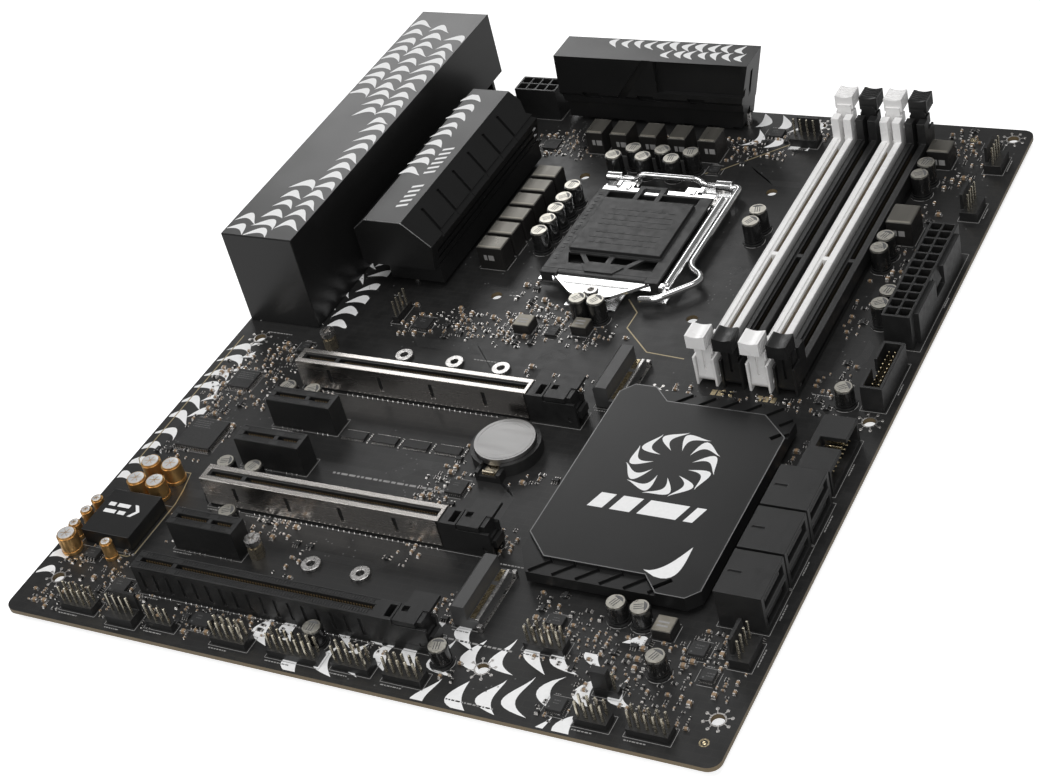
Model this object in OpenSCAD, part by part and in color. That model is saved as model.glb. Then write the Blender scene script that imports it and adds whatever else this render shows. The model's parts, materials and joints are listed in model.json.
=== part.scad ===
// ATX motherboard with its sockets, slots, heatsinks and connectors.
// Origin: centre of the corner mounting hole nearest the audio end, at the board's underside.
// +X runs away from the rear connectors, +Y towards the CPU power connector, +Z up off the board.

/* [Board] */
// Board width, from the rear connector edge (mm)
board_x = 243.84; // [243.6:0.01:244.5]
// Board length, along the rear connector edge (mm)
board_y = 304.8; // [304.6:0.01:305.4]
// Board thickness (mm)
board_t = 1.6; // [1.2:0.1:2.4]
// Corner radius of the board (mm)
corner_r = 4; // [1:0.5:5]
// Standoff hole diameter (mm)
mount_d = 3.96; // [3.6:0.01:4.2]
// Cooler mounting hole diameter (mm)
cooler_d = 4; // [3.8:0.1:4.4]
// Side of the square cooler hole pattern (mm)
cooler_pitch = 75; // [74.6:0.1:75.4]

/* [Shroud and heatsinks] */
// Height of the rear shroud above the board (mm)
shroud_h = 38; // [36:0.5:42]
// Wall thickness of the rear shroud (mm)
shroud_wall = 1.6; // [1.2:0.1:2.0]
// Height of the heatsink beside the shroud (mm)
west_sink_h = 29.3; // [27:0.1:32]
// Height of the heatsink at the CPU power edge (mm)
north_sink_h = 30; // [27:0.5:33]
// Height of the chipset heatsink (mm)
chip_sink_h = 7; // [6.4:0.1:9]
// Number of grooves across the sloping heatsink face
sink_grooves = 6; // [3:1:7]

/* [CPU socket] */
// Height of the load plate's top face (mm)
plate_top = 5.4; // [5.3:0.1:5.6]
// Height of the protective cover's raised block (mm)
cover_top = 7.6; // [7.2:0.1:9]
// Diameter of the load lever wire (mm)
lever_d = 2.4; // [2.0:0.1:2.6]

/* [Memory slots] */
// Spacing of the memory slots (mm)
dimm_pitch = 9.1; // [8.9:0.1:9.6]
// Height of the memory slot rails (mm)
dimm_rail_h = 7.5; // [6.5:0.1:8.5]
// Height of the latches (mm)
latch_h = 22; // [20:0.5:24]

/* [Expansion slots] */
// Spacing of the expansion slots (mm)
pcie_pitch = 20.32; // [20.32:0.01:20.4]
// Height of the expansion slot bodies (mm)
pcie_h = 11.2; // [10.8:0.1:11.4]
// Thickness of the steel sleeve (mm)
sleeve_t = 0.4; // [0.3:0.05:0.5]

/* [Connectors] */
// Height of the upright power connectors (mm)
power_h = 12.8; // [12:0.1:14]
// Height of the stacked SATA blocks (mm)
sata_h = 13.4; // [13.2:0.1:14]
// Height of the square power chokes (mm)
choke_h = 9; // [7:0.5:10]
// Height of the polymer capacitors (mm)
cap_h = 9; // [8:0.5:11]
// Height of header pins above the board (mm)
pin_h = 8.5; // [8:0.1:9]

/* [Hidden] */

$fn = 48;
e = 0.01;
PT = board_t;                       // board top face
hx = 10.16;                         // origin hole from the rear connector edge
hy = 16.51;                         // origin hole from the bottom edge
mx = [hx, hx + 154.94, hx + 227.33];
cpu = [124.8, 217.1];               // centre of the CPU socket
cp = cooler_pitch / 2;
axle = [250.5, PT + 3.6];           // lever axle, Y and Z
hinge = [244.6, PT + 4.2];          // load plate hinge, Y and Z
dimm_x = 181.0;                     // first memory slot
latch_s = [150.6, PT + 3.2];        // latch pivots, Y and Z, near end
latch_n = [287.2, PT + 3.2];        // and far end
pcie_y = 21.4;                      // lowest expansion slot
clip_x = 145.5;                     // card clip pivot, X
clip_z = PT + 3;

mount_xy = [[mx[0], hy], [mx[1], hy], [mx[2], hy],
            [mx[0], hy + 124.46], [mx[1], hy + 124.46], [mx[2], hy + 124.46],
            [mx[0], hy + 259.08], [mx[1], hy + 281.94], [mx[2], hy + 281.94]];
cooler_xy = [[cpu[0] - cp, cpu[1] - cp], [cpu[0] + cp, cpu[1] - cp],
             [cpu[0] - cp, cpu[1] + cp], [cpu[0] + cp, cpu[1] + cp]];
ilm_xy = [[cpu[0], 181.5], [104.0, 243.6], [144.4, 243.6]];
west_screws = [[52, 184.5], [52, 257.5]];
north_screws = [[71, 297], [137, 297]];
chip_screws = [[166, 63], [166, 124], [210.5, 63], [210.5, 124]];
sink_screws = concat(west_screws, north_screws, chip_screws);

module place() translate([-hx, -hy, 0]) children();
module blk(x0, x1, y0, y1, z0, z1) translate([x0, y0, z0]) cube([x1 - x0, y1 - y0, z1 - z0]);
module post(x, y, z0, z1, d) translate([x, y, z0]) cylinder(h = z1 - z0, d = d);
module barx(x0, x1, y, z, d) translate([x0, y, z]) rotate([0, 90, 0]) cylinder(h = x1 - x0, d = d);
module bary(x, y0, y1, z, d) translate([x, y0, z]) rotate([-90, 0, 0]) cylinder(h = y1 - y0, d = d);
module alongy(y0, y1) translate([0, y1, 0]) rotate([90, 0, 0]) linear_extrude(y1 - y0) children();
module alongx(x0, x1) translate([x0, 0, 0]) rotate([90, 0, 90]) linear_extrude(x1 - x0) children();

// ---------- board ----------
module pcb() color([0.07, 0.07, 0.075]) place() difference() {
    union() {
        blk(corner_r, board_x - corner_r, 0, board_y, 0, PT);
        blk(0, board_x, corner_r, board_y - corner_r, 0, PT);
        for (x = [corner_r, board_x - corner_r], y = [corner_r, board_y - corner_r])
            post(x, y, 0, PT, 2 * corner_r);
    }
    for (p = mount_xy) post(p[0], p[1], -1, PT + 1, mount_d);
    for (p = cooler_xy) post(p[0], p[1], -1, PT + 1, cooler_d);
    for (p = ilm_xy) post(p[0], p[1], -1, PT + 1, 4.2);
    for (p = sink_screws) post(p[0], p[1], -1, PT + 1, 3.2);
}

// ---------- rear connectors and their shroud ----------
module io_shroud() color([0.05, 0.05, 0.055]) place() {
    w = shroud_wall;
    difference() {
        blk(0.5, 30, 150.3, 303.7, PT, PT + shroud_h);
        blk(-1, 30 - w, 150.3 + w, 303.7 - w, PT - 1, PT + shroud_h - w);
        blk(25, 31, 289, 304, PT - 1, PT + 12);
    }
}

// openings in one rear port shell: y0, y1, z0, z1
module port_shell(y0, y1, h, depth, holes) difference() {
    blk(-1.5, depth, y0, y1, PT, PT + h);
    for (o = holes) blk(-2, depth - 4, o[0], o[1], PT + o[2], PT + o[3]);
}

module rear_port_shells() color([0.75, 0.76, 0.78]) place() {
    port_shell(286.3, 301.3, 16.4, 17, [[287.3, 300.3, 1.4, 7.0], [287.3, 300.3, 9.4, 15.0]]);
    port_shell(232.3, 270.3, 12.5, 17, [[238.8, 263.8, 2.2, 10.6]]);
    port_shell(216.5, 231.5, 6.6, 13, [[217.2, 230.8, 0.9, 5.7]]);
    port_shell(201.3, 215.7, 16.4, 17, [[201.9, 215.1, 1.4, 7.0], [201.9, 215.1, 9.4, 15.0]]);
    port_shell(184.0, 200.5, 29.5, 21, [[185.6, 198.9, 1.4, 7.0], [185.6, 198.9, 9.4, 15.0],
                                        [186.3, 198.2, 17.6, 27.8]]);
}

module rear_port_sockets() color([0.12, 0.2, 0.45]) place() {
    // round keyboard socket above the first stack
    difference() {
        blk(-1.2, 13, 287.0, 300.6, PT + 16.4, PT + 30);
        translate([-2, 293.8, PT + 23.4]) rotate([0, 90, 0]) difference() {
            cylinder(h = 9, d = 9.6);
            translate([0, 0, -1]) cylinder(h = 11, d = 7.6);
        }
    }
    // contact tongues inside the metal shells
    for (t = [[288.3, 299.3, 4.6, 13], [288.3, 299.3, 12.6, 13], [240.3, 262.3, 6.4, 13],
              [218.5, 229.5, 3.4, 9], [202.9, 214.1, 4.6, 13], [202.9, 214.1, 12.6, 13],
              [186.6, 197.9, 4.6, 17], [186.6, 197.9, 12.6, 17]])
        blk(0.5, t[3], t[0], t[1], PT + t[2] - 0.9, PT + t[2] + 0.9);
}

module audio_jacks() color([0.08, 0.08, 0.09]) place() difference() {
    blk(-1.2, 16, 153, 183.2, PT, PT + 27);
    for (y = [158, 168.1, 178.2], z = [7, 20])
        translate([-2, y, PT + z]) rotate([0, 90, 0]) cylinder(h = 13, d = 3.6);
}

// ---------- heatsinks ----------
sa = atan2(west_sink_h - 20, 10.3);   // slope of the grooved face
module west_heatsink() color([0.09, 0.09, 0.095]) place() translate([0, 0, PT]) difference() {
    union() {
        alongy(177.4, 264) polygon([[36.5, 10], [36.5, 25], [41.7, west_sink_h], [57, west_sink_h],
                                    [67.3, 20], [66.2, 10.5], [65, 10]]);
        blk(44, 66, 181, 262, 2, 10);
    }
    // slanted grooves across the sloping face
    for (i = [0:sink_grooves - 1])
        translate([57, 190 + i * 72 / sink_grooves, west_sink_h]) rotate([0, sa, 0])
            rotate([0, 0, -14]) blk(2.6, 18, -0.7, 0.7, -1.1, 2);
    // stepped shoulder behind the grooves and a cut corner at the far end
    translate([57, 0, west_sink_h]) rotate([0, sa, 0]) blk(12.2, 16, 186, 270, -0.9, 2);
    translate([61, 264, 0]) rotate([0, 0, 45]) blk(0, 12, -5, 12, 0, 40);
    // long fins cut into the underside of the flank
    for (z = [12.4, 15.2]) blk(65.2, 69, 181, 262, z, z + 1.1);
    for (p = west_screws) post(p[0], p[1], 0, 8, 3);
}

module north_heatsink() color([0.09, 0.09, 0.095]) place() translate([0, 0, PT]) difference() {
    union() {
        alongx(64.2, 144) polygon([[303.6, 9], [303.6, north_sink_h], [289, north_sink_h],
                                   [287.6, 14.5], [289.2, 12.6], [290.5, 9]]);
        blk(65, 141, 291, 303, 2, 9);
    }
    // end face leaning inwards
    translate([144, 280, north_sink_h]) rotate([0, 14, 0]) blk(0, 12, 0, 30, -40, 5);
    // recessed band that splits the front face, and the shallow panel beside it
    translate([96, 287, 21]) rotate([0, -52, 0]) blk(-14, 14, -1, 2.2, -1.4, 1.4);
    translate([0, 286.6, 0]) rotate([-5, 0, 0]) blk(106, 141.5, -1, 1.8, 17, 30);
    // notches along the lower edge
    for (x = [74, 97, 118]) blk(x, x + 7, 286, 290, 12, 15.2);
    // slots in the end face
    blk(140, 146, 294, 296.2, 13, 25);
    for (p = north_screws) post(p[0], p[1], 0, 8, 3);
}

module vrm_mosfets() color([0.1, 0.1, 0.1]) place() {
    for (i = [0:6]) blk(52, 58, 187.5 + 10 * i, 192.5 + 10 * i, PT, PT + 1.1);
    for (i = [0:5]) blk(76 + 10 * i, 82 + 10 * i, 293, 298, PT, PT + 1.1);
}

module vrm_pads() color([0.45, 0.5, 0.55]) place() {
    blk(50, 60, 187, 255, PT + 1.1, PT + 2);
    blk(75.5, 132.5, 292.5, 298.5, PT + 1.1, PT + 2);
}

module heatsink_screws() color([0.7, 0.7, 0.72]) place() for (p = sink_screws) difference() {
    union() {
        post(p[0], p[1], -1.8, 0, 5.6);
        post(p[0], p[1], -0.5, PT + 5, 2.9);
    }
    blk(p[0] - 1.6, p[0] + 1.6, p[1] - 0.35, p[1] + 0.35, -2, -1.1);
    blk(p[0] - 0.35, p[0] + 0.35, p[1] - 1.6, p[1] + 1.6, -2, -1.1);
}

module chipset_heatsink() color([0.08, 0.08, 0.085]) place() translate([0, 0, PT]) difference() {
    union() {
        translate([0, 0, 2]) linear_extrude(chip_sink_h - 3.2)
            polygon([[158.1, 59], [163.6, 50.3], [214.8, 50.3], [218.4, 54.1], [218.4, 130],
                     [212, 136.3], [162, 136.3], [158.1, 132]]);
        translate([0, 0, chip_sink_h - 1.2 - e]) linear_extrude(1.2 + e)
            polygon([[158.1, 65.3], [166.9, 56.6], [199.8, 56.6], [205.6, 50.3], [214.8, 50.3],
                     [218.4, 54.1], [218.4, 121.4], [208.6, 130.4], [175.6, 130.4],
                     [169.4, 136.3], [162, 136.3], [158.1, 132]]);
        for (p = chip_screws) post(p[0], p[1], 0, 2 + e, 6);
    }
    // slanted slots across the two lowered bands
    for (i = [0:5]) translate([167 + 7.7 * i, 53.4, chip_sink_h - 1.2])
        rotate([0, 0, -45]) blk(-0.8, 0.8, -3.6, 4.2, -1, 2);
    for (i = [0:4]) translate([180 + 7.7 * i, 133.4, chip_sink_h - 1.2])
        rotate([0, 0, -45]) blk(-0.8, 0.8, -4, 3.6, -1, 2);
    for (i = [0:1]) translate([216.2, 119 + 7.4 * i + 3, chip_sink_h - 1.2])
        rotate([0, 0, -45]) blk(-0.8, 0.8, -3, 3.4, -1, 2);
    for (p = chip_screws) post(p[0], p[1], -1, 5.2, 3);
}

module chipset_package() color([0.1, 0.25, 0.15]) place() {
    blk(176, 200, 81, 105, PT, PT + 0.9);
    blk(182, 194, 88, 98, PT + 0.9, PT + 1.5);
}

module chipset_pad() color([0.6, 0.6, 0.62]) place() blk(181, 195, 87, 99, PT + 1.5, PT + 2);

// ---------- CPU socket ----------
module socket_body() color([0.1, 0.1, 0.1]) place() translate([cpu[0], cpu[1], PT]) difference() {
    blk(-21.2, 21.2, -21.2, 21.2, 0, 4.0);
    blk(-18.8, 18.8, -18.8, 18.8, 2.6, 5);
    blk(-7, 7, -6, 6, 1.2, 5);
    blk(-4, 4, 17, 22, 2.6, 5);
    blk(-4, 4, -22, -17, 2.6, 5);
}

module ilm_frame() color([0.8, 0.81, 0.83]) place() difference() {
    union() {
        blk(98.8, 150.8, 190, 254, PT, PT + 1.2);
        // raised side rails
        blk(147.4, 150.8, 188.5, 243, PT + 1.2 - e, PT + 4.4);
        blk(100.4, 101.8, 196, 240.6, PT + 1.2 - e, PT + 4.0);
        // nose under the shoulder screw
        blk(115, 134.6, 177.5, 190 + e, PT, PT + 1.2);
        // catch beside the lever
        blk(147.4, 148.8, 187.2, 190, PT + 1.2 - e, PT + 5.4);
        blk(147.4, 150.8, 184.6, 190 + e, PT, PT + 1.2);
        // curls that carry the lever axle
        for (x = [100, 143.6]) {
            blk(x, x + 6, axle[0] - 2.4, axle[0] + 2.4, PT + 1.2 - e, axle[1]);
            barx(x, x + 6, axle[0], axle[1], 4.8);
        }
        // ears that carry the load plate
        for (x = [106.9, 139.5])
            blk(x, x + 1.5, hinge[0] - 1.8, hinge[0] + 1.8, PT + 1.2 - e, hinge[1] + 1.6);
    }
    blk(cpu[0] - 22, cpu[0] + 22, cpu[1] - 22, cpu[1] + 22, PT - 1, PT + 2);
    blk(112, 137.6, 246.4, 255, PT - 1, PT + 2);
    for (x = [99, 142.6]) barx(x, x + 8, axle[0], axle[1], lever_d + 0.12);
    for (x = [106.4, 139]) barx(x, x + 2.5, hinge[0], hinge[1], 1.72);
    for (p = ilm_xy) post(p[0], p[1], PT - 1, PT + 2, 4.2);
}

module ilm_screws() color([0.55, 0.56, 0.58]) place() for (i = [1, 2]) difference() {
    union() {
        post(ilm_xy[i][0], ilm_xy[i][1], PT + 1.2, PT + 1.9, 5.0);
        post(ilm_xy[i][0], ilm_xy[i][1], -1.2, PT + 1.3, 3.5);
    }
    translate([ilm_xy[i][0], ilm_xy[i][1], PT + 1.5]) cylinder(h = 2, d = 2.4, $fn = 6);
}

module shoulder_screw() color([0.8, 0.8, 0.82]) place() difference() {
    union() {
        post(ilm_xy[0][0], ilm_xy[0][1], PT + 1.2, PT + 1.9, 5.4);
        post(ilm_xy[0][0], ilm_xy[0][1], -1.2, PT + 4, 3.5);
        post(ilm_xy[0][0], ilm_xy[0][1], PT + 4 - e, PT + 6.2, 4.6);
    }
    translate([ilm_xy[0][0], ilm_xy[0][1], PT + 5]) cylinder(h = 2, d = 2.6, $fn = 6);
}

module cpu_backplate() color([0.12, 0.12, 0.13]) place() difference() {
    union() {
        blk(102, 147.6, 188, 254, -2, 0);
        blk(112, 137.6, 176, 188 + e, -2, 0);
    }
    blk(106.5, 143.1, 199, 235, -3, 1);
    for (p = ilm_xy) post(p[0], p[1], -3, 1, 3.6);
}

module load_plate() color([0.86, 0.87, 0.89]) place() difference() {
    union() {
        blk(102.2, 146.4, 189, 242.6, PT + plate_top - 1.2, PT + plate_top);
        // tapering nose with the fork
        translate([0, 0, PT + plate_top - 1.2]) linear_extrude(1.2)
            polygon([[106, 189 + e], [143.5, 189 + e], [133, 180], [129.5, 178.6],
                     [120, 178.6], [116.6, 180]]);
        // hinge tongues
        for (x = [108.6, 134.3]) {
            blk(x, x + 5, 240, hinge[0] + 1.2, PT + plate_top - 1.2, PT + plate_top);
            blk(x, x + 5, hinge[0] - 1.2, hinge[0] + 1.2, hinge[1] - 0.8, PT + plate_top - 1);
        }
        barx(107.2, 110, hinge[0], hinge[1], 1.6);
        barx(138, 140.7, hinge[0], hinge[1], 1.6);
    }
    blk(105, 144.2, 193.6, 239.2, PT, PT + 9);
    // notches that clear the hinge ears as the plate swings
    for (x = [106.5, 139.35]) blk(x, x + 2.05, 241.8, 243, PT, PT + 9);
    // fork around the shoulder screw
    blk(ilm_xy[0][0] - 2.6, ilm_xy[0][0] + 2.6, 170, ilm_xy[0][1], PT, PT + 9);
    post(ilm_xy[0][0], ilm_xy[0][1], PT, PT + 9, 5.2);
}

lv = [[152.4, axle[0]], [152.4, 204.5], [154, 201.8], [158, 199], [159.2, 196.4], [158, 193.6],
      [149.2, 184.6], [147, 183.1], [142.4, 182.3]];
// wire run between two points, carried a little past each bend
module rod(a, b, d) {
    v = b - a;
    l = norm(v);
    translate(a) rotate([0, acos(v[2] / l), atan2(v[1], v[0])]) translate([0, 0, -0.35])
        cylinder(h = l + 0.7, d = d);
}
module load_lever() color([0.82, 0.83, 0.85]) place() {
    az = axle[1];
    ax = [[99.6, axle[0], az], [111, axle[0], az], [113.6, axle[0] + 0.4, az + 2],
          [136, axle[0] + 0.4, az + 2], [138.6, axle[0], az], [152.4, axle[0], az]];
    for (i = [0:4]) rod(ax[i], ax[i + 1], lever_d - (i % 2) * 0.16);
    for (i = [0:7])
        rod([lv[i][0], lv[i][1], az], [lv[i + 1][0], lv[i + 1][1], az], lever_d - ((i + 1) % 2) * 0.16);
}

module socket_cover() color([0.07, 0.07, 0.075]) place() {
    zb = PT + plate_top;
    difference() {
        union() {
            blk(101.6, 147.0, 190.8, 239.4, zb, zb + 0.9);
            blk(107.2, 142.4, 201.6, 233, zb, PT + cover_top);
            // finger tab between the two hinge tongues
            blk(117, 127.6, 239.4 - e, 243.2, zb, zb + 0.9);
        }
        // windows between the webs
        blk(106.5, 117, 234.2, 238.2, zb - 1, zb + 3);
        blk(119, 125.6, 234.2, 241.6, zb - 1, zb + 3);
        blk(127.6, 142.2, 234.2, 238.2, zb - 1, zb + 3);
        for (q = [[[107.4, 200.4], [111.8, 200.4], [116.4, 194.6], [110, 194.6]],
                  [[114, 200.4], [123.4, 200.4], [123.4, 196.4], [117.4, 196.4]],
                  [[125.6, 200.4], [134.8, 200.4], [131.6, 196.4], [125.6, 196.4]],
                  [[137, 200.4], [142.2, 200.4], [142.2, 194.6], [133, 194.6]]])
            translate([0, 0, zb - 1]) linear_extrude(4) polygon(q);
        blk(110, 139.6, 204, 230.5, zb - 1, PT + cover_top - 0.9);
    }
}

// ---------- memory slots ----------
module dimm_slot(cx) difference() {
    union() {
        blk(cx - 3.7, cx + 3.7, 153.4, 284.4, PT, PT + dimm_rail_h);
        // guide posts at both ends
        for (y = [[153.4, 157.6], [280.6, 284.4]]) blk(cx - 3.7, cx + 3.7, y[0], y[1], PT, PT + 15.6);
        // ears around the latches
        for (s = [-1, 1], y = [[147.8, 153.4 + e], [284.4 - e, 290]]) {
            x0 = s < 0 ? cx - 3.7 : cx + 2.9;
            blk(x0, x0 + 0.8, y[0], y[1], PT, PT + 11);
        }
    }
    blk(cx - 0.85, cx + 0.85, 154.2, 210.2, PT + 1.8, PT + 30);
    blk(cx - 0.85, cx + 0.85, 212, 283.6, PT + 1.8, PT + 30);
    blk(cx - 0.85, cx + 0.85, 150, 158, PT + 6, PT + 30);
    blk(cx - 0.85, cx + 0.85, 280, 288, PT + 6, PT + 30);
    // chamfered lead-in down the channel
    blk(cx - 1.7, cx + 1.7, 157.6, 280.6, PT + dimm_rail_h - 0.7, PT + dimm_rail_h + 1);
    for (y = [latch_s[0], latch_n[0]]) barx(cx - 5, cx + 5, y, latch_s[1], 1.72);
}

// latch drawn for the near end; s = 1 near end, -1 far end
module latch(cx, piv, s) {
    translate([cx, piv[0], piv[1]]) mirror([0, s > 0 ? 0 : 1, 0]) difference() {
        union() {
            barx(-3.5, 3.5, 0, 0, 1.6);
            barx(-2.75, 2.75, 0, 0, 4.6);
            // tapering body
            alongx(-2.6, 2.6) polygon([[-2.3, 0], [2.2, 0], [2.2, 15.6], [-1.4, 15.6], [-1.9, 5]]);
            blk(-3.2, 3.2, -1.3, 1.9, 9, 12.6);
            // head with its finger pad
            blk(-3.3, 3.3, -5.6, 1.6, latch_h - 8.2, latch_h - 3.2);
        }
        blk(-0.45, 0.45, -3, -0.9, 3, 12.5);
        // shallow saddle for the finger
        translate([0, -7, latch_h + 3.25]) rotate([-90, 0, 0]) cylinder(h = 10, d = 14);
        for (y = [-5.2, 1]) blk(-4, -2.5, y - 0.8, y + 0.8, latch_h - 9, latch_h - 8.4);
    }
}

module dimm_white() color([0.93, 0.93, 0.92]) place() for (i = [0, 2]) dimm_slot(dimm_x + dimm_pitch * i);
module dimm_black() color([0.07, 0.07, 0.07]) place() for (i = [1, 3]) dimm_slot(dimm_x + dimm_pitch * i);
module latch_1s() color([0.95, 0.95, 0.94]) place() latch(dimm_x, latch_s, 1);
module latch_1n() color([0.95, 0.95, 0.94]) place() latch(dimm_x, latch_n, -1);
module latch_2s() color([0.09, 0.09, 0.09]) place() latch(dimm_x + dimm_pitch, latch_s, 1);
module latch_2n() color([0.09, 0.09, 0.09]) place() latch(dimm_x + dimm_pitch, latch_n, -1);
module latch_3s() color([0.95, 0.95, 0.94]) place() latch(dimm_x + 2 * dimm_pitch, latch_s, 1);
module latch_3n() color([0.95, 0.95, 0.94]) place() latch(dimm_x + 2 * dimm_pitch, latch_n, -1);
module latch_4s() color([0.09, 0.09, 0.09]) place() latch(dimm_x + 3 * dimm_pitch, latch_s, 1);
module latch_4n() color([0.09, 0.09, 0.09]) place() latch(dimm_x + 3 * dimm_pitch, latch_n, -1);

// ---------- expansion slots ----------
long_rows = [0, 2, 5];              // rows with long slots; the last two are sleeved
short_rows = [1, 3, 4];

module slot_channel(x0, x1, cy) {
    blk(x0, 56.4, cy - 0.9, cy + 0.9, PT + 2.5, PT + 20);
    blk(58, x1, cy - 0.9, cy + 0.9, PT + 2.5, PT + 20);
}

module pcie_long() color([0.07, 0.07, 0.075]) place() for (r = long_rows) {
    cy = pcie_y + pcie_pitch * r;
    w = r == 0 ? 3.6 : 3.6 - sleeve_t;
    difference() {
        union() {
            blk(42 + sleeve_t, 131 - sleeve_t, cy - w, cy + w, PT, PT + pcie_h);
            // open-ended box for the retention clip
            blk(131 - sleeve_t - e, 148, cy - 3.6, cy + 3.6, PT, PT + pcie_h - 1.9);
            blk(131 - sleeve_t - e, 137, cy - 3.6, cy + 3.6, PT + 4, PT + pcie_h);
        }
        slot_channel(44.5, 129.4, cy);
        blk(134, 136.2, cy - 2.4, cy + 2.4, PT + 2.5, PT + 20);
        blk(137, 149, cy - 2.6, cy + 2.6, PT - 1, PT + 20);
        bary(clip_x, cy - 5, cy + 5, clip_z, 1.72);
        // ribs between the contact cells
        if (r == 0) for (i = [0:16]) blk(45 + 5 * i, 46.2 + 5 * i, cy - 4, cy - 3.2, PT + 2, PT + 9);
    }
}

module pcie_sleeves() color([0.8, 0.79, 0.76]) place() for (r = [2, 5]) {
    cy = pcie_y + pcie_pitch * r;
    difference() {
        blk(42, 131, cy - 3.6, cy + 3.6, PT + 1, PT + pcie_h + sleeve_t);
        blk(42 + sleeve_t, 131 - sleeve_t, cy - 3.6 + sleeve_t, cy + 3.6 - sleeve_t, PT, PT + pcie_h);
        blk(43.8, 129.8, cy - 1.7, cy + 1.7, PT + 4, PT + 20);
        // opening over the clip end
        blk(130, 132, cy - 4, cy + 4, PT, PT + pcie_h);
        // narrow windows down both flanks
        for (i = [0:3]) blk(54 + 20 * i, 55.4 + 20 * i, cy - 4, cy + 4, PT + 3.4, PT + 9.4);
    }
}

module pcie_short() color([0.06, 0.06, 0.065]) place() for (r = short_rows) {
    cy = pcie_y + pcie_pitch * r;
    difference() {
        blk(42.4, 67.5, cy - 3.7, cy + 3.7, PT, PT + pcie_h);
        slot_channel(44.5, 65.6, cy);
    }
}

module card_clip(r) {
    cy = pcie_y + pcie_pitch * r;
    color([0.08, 0.08, 0.085]) place() difference() {
        union() {
            blk(137.5, 146.6, cy - 2.5, cy + 2.5, PT + 1.2, PT + pcie_h);
            // cap, hook tab and finger pad
            blk(137.5, 145, cy - 3.6, cy + 3.6, PT + pcie_h - 1.4, PT + pcie_h + 0.3);
            blk(138.6, 147, cy + 2, cy + 9, PT + pcie_h - 0.9, PT + pcie_h + 0.3);
            bary(clip_x, cy - 3.4, cy + 3.4, clip_z, 1.6);
            blk(146.4, 149.4, cy - 2.5, cy + 2.5, PT + 3.4, PT + 6.2);
        }
        blk(138.4, 140.6, cy + 0.4, cy + 2.6, PT + pcie_h - 1.2, PT + 20);
        blk(147.4, 148.2, cy - 3, cy + 3, PT + 5.2, PT + 7);
        blk(137, 141.6, cy - 1.4, cy + 1.4, PT + 1, PT + 7.6);
    }
}
module card_clip_1() card_clip(0);
module card_clip_2() card_clip(2);
module card_clip_3() card_clip(5);

// ---------- M.2 ----------
m2_y = [[30, 52.5], [130.5, 153]];
m2_post = [[72, 41.5], [40.8, 141.3]];
module m2_connectors() color([0.2, 0.2, 0.21]) place() for (m = m2_y) difference() {
    union() {
        blk(149, 157.6, m[0], m[1], PT, PT + 3.2);
        alongy(m[0], m[1])
            polygon([[149, PT + 3], [149, PT + 7.4], [150, PT + 8.3], [154, PT + 8.3], [154, PT + 3]]);
    }
    blk(148, 152.6, m[0] + 1, m[0] + 15, PT + 4, PT + 6.2);
    blk(148, 152.6, m[0] + 16.2, m[1] - 1, PT + 4, PT + 6.2);
}
module m2_nuts() color([0.83, 0.83, 0.84]) place()
    for (p = [[70.5, 141.4], [90.5, 141.4], [108.5, 141.4], [92, 41.5], [110, 41.5]]) difference() {
        post(p[0], p[1], PT, PT + 1.2, 6.4);
        post(p[0], p[1], PT - 1, PT + 3, 2.6);
    }
module m2_standoffs() color([0.72, 0.66, 0.55]) place() for (p = m2_post) difference() {
    union() {
        translate([p[0], p[1], PT]) cylinder(h = 4.4, d = 5.2, $fn = 6);
        post(p[0], p[1], PT, PT + 5.6, 3.9);
    }
    post(p[0], p[1], PT + 0.6, PT + 9, 2.1);
}
module m2_screw(p) color([0.78, 0.74, 0.66]) place() difference() {
    union() {
        post(p[0], p[1], PT + 5.6, PT + 7.4, 5.2);
        post(p[0], p[1], PT + 1.4, PT + 5.7, 2.0);
    }
    blk(p[0] - 1.7, p[0] + 1.7, p[1] - 0.35, p[1] + 0.35, PT + 6.5, PT + 8);
    blk(p[0] - 0.35, p[0] + 0.35, p[1] - 1.7, p[1] + 1.7, PT + 6.5, PT + 8);
}
module m2_screw_upper() m2_screw(m2_post[1]);
module m2_screw_lower() m2_screw(m2_post[0]);

// ---------- battery ----------
bat = [130.2, 103.4];
module battery_holder() color([0.08, 0.08, 0.08]) place() difference() {
    union() {
        post(bat[0], bat[1], PT, PT + 4.4, 23.2);
        blk(bat[0] - 4.5, bat[0] + 4.5, bat[1] - 14.2, bat[1] - 8, PT, PT + 3.4);
        blk(bat[0] - 9, bat[0] + 3, bat[1] + 8, bat[1] + 12.6, PT, PT + 3);
    }
    post(bat[0], bat[1], PT + 2.2, PT + 9, 20.4);
    blk(bat[0] - 3.2, bat[0] + 3.2, bat[1] - 15, bat[1] - 9, PT + 2.2, PT + 9);
}
module battery_contact() color([0.8, 0.78, 0.7]) place()
    blk(bat[0] - 2.2, bat[0] + 2.2, bat[1] - 13.4, bat[1] - 4, PT + 2.2, PT + 2.6);
module coin_cell() color([0.8, 0.8, 0.79]) place() {
    post(bat[0], bat[1], PT + 2.6, PT + 3.4, 17.6);
    post(bat[0], bat[1], PT + 3.4 - e, PT + 5.8, 20);
}

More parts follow.
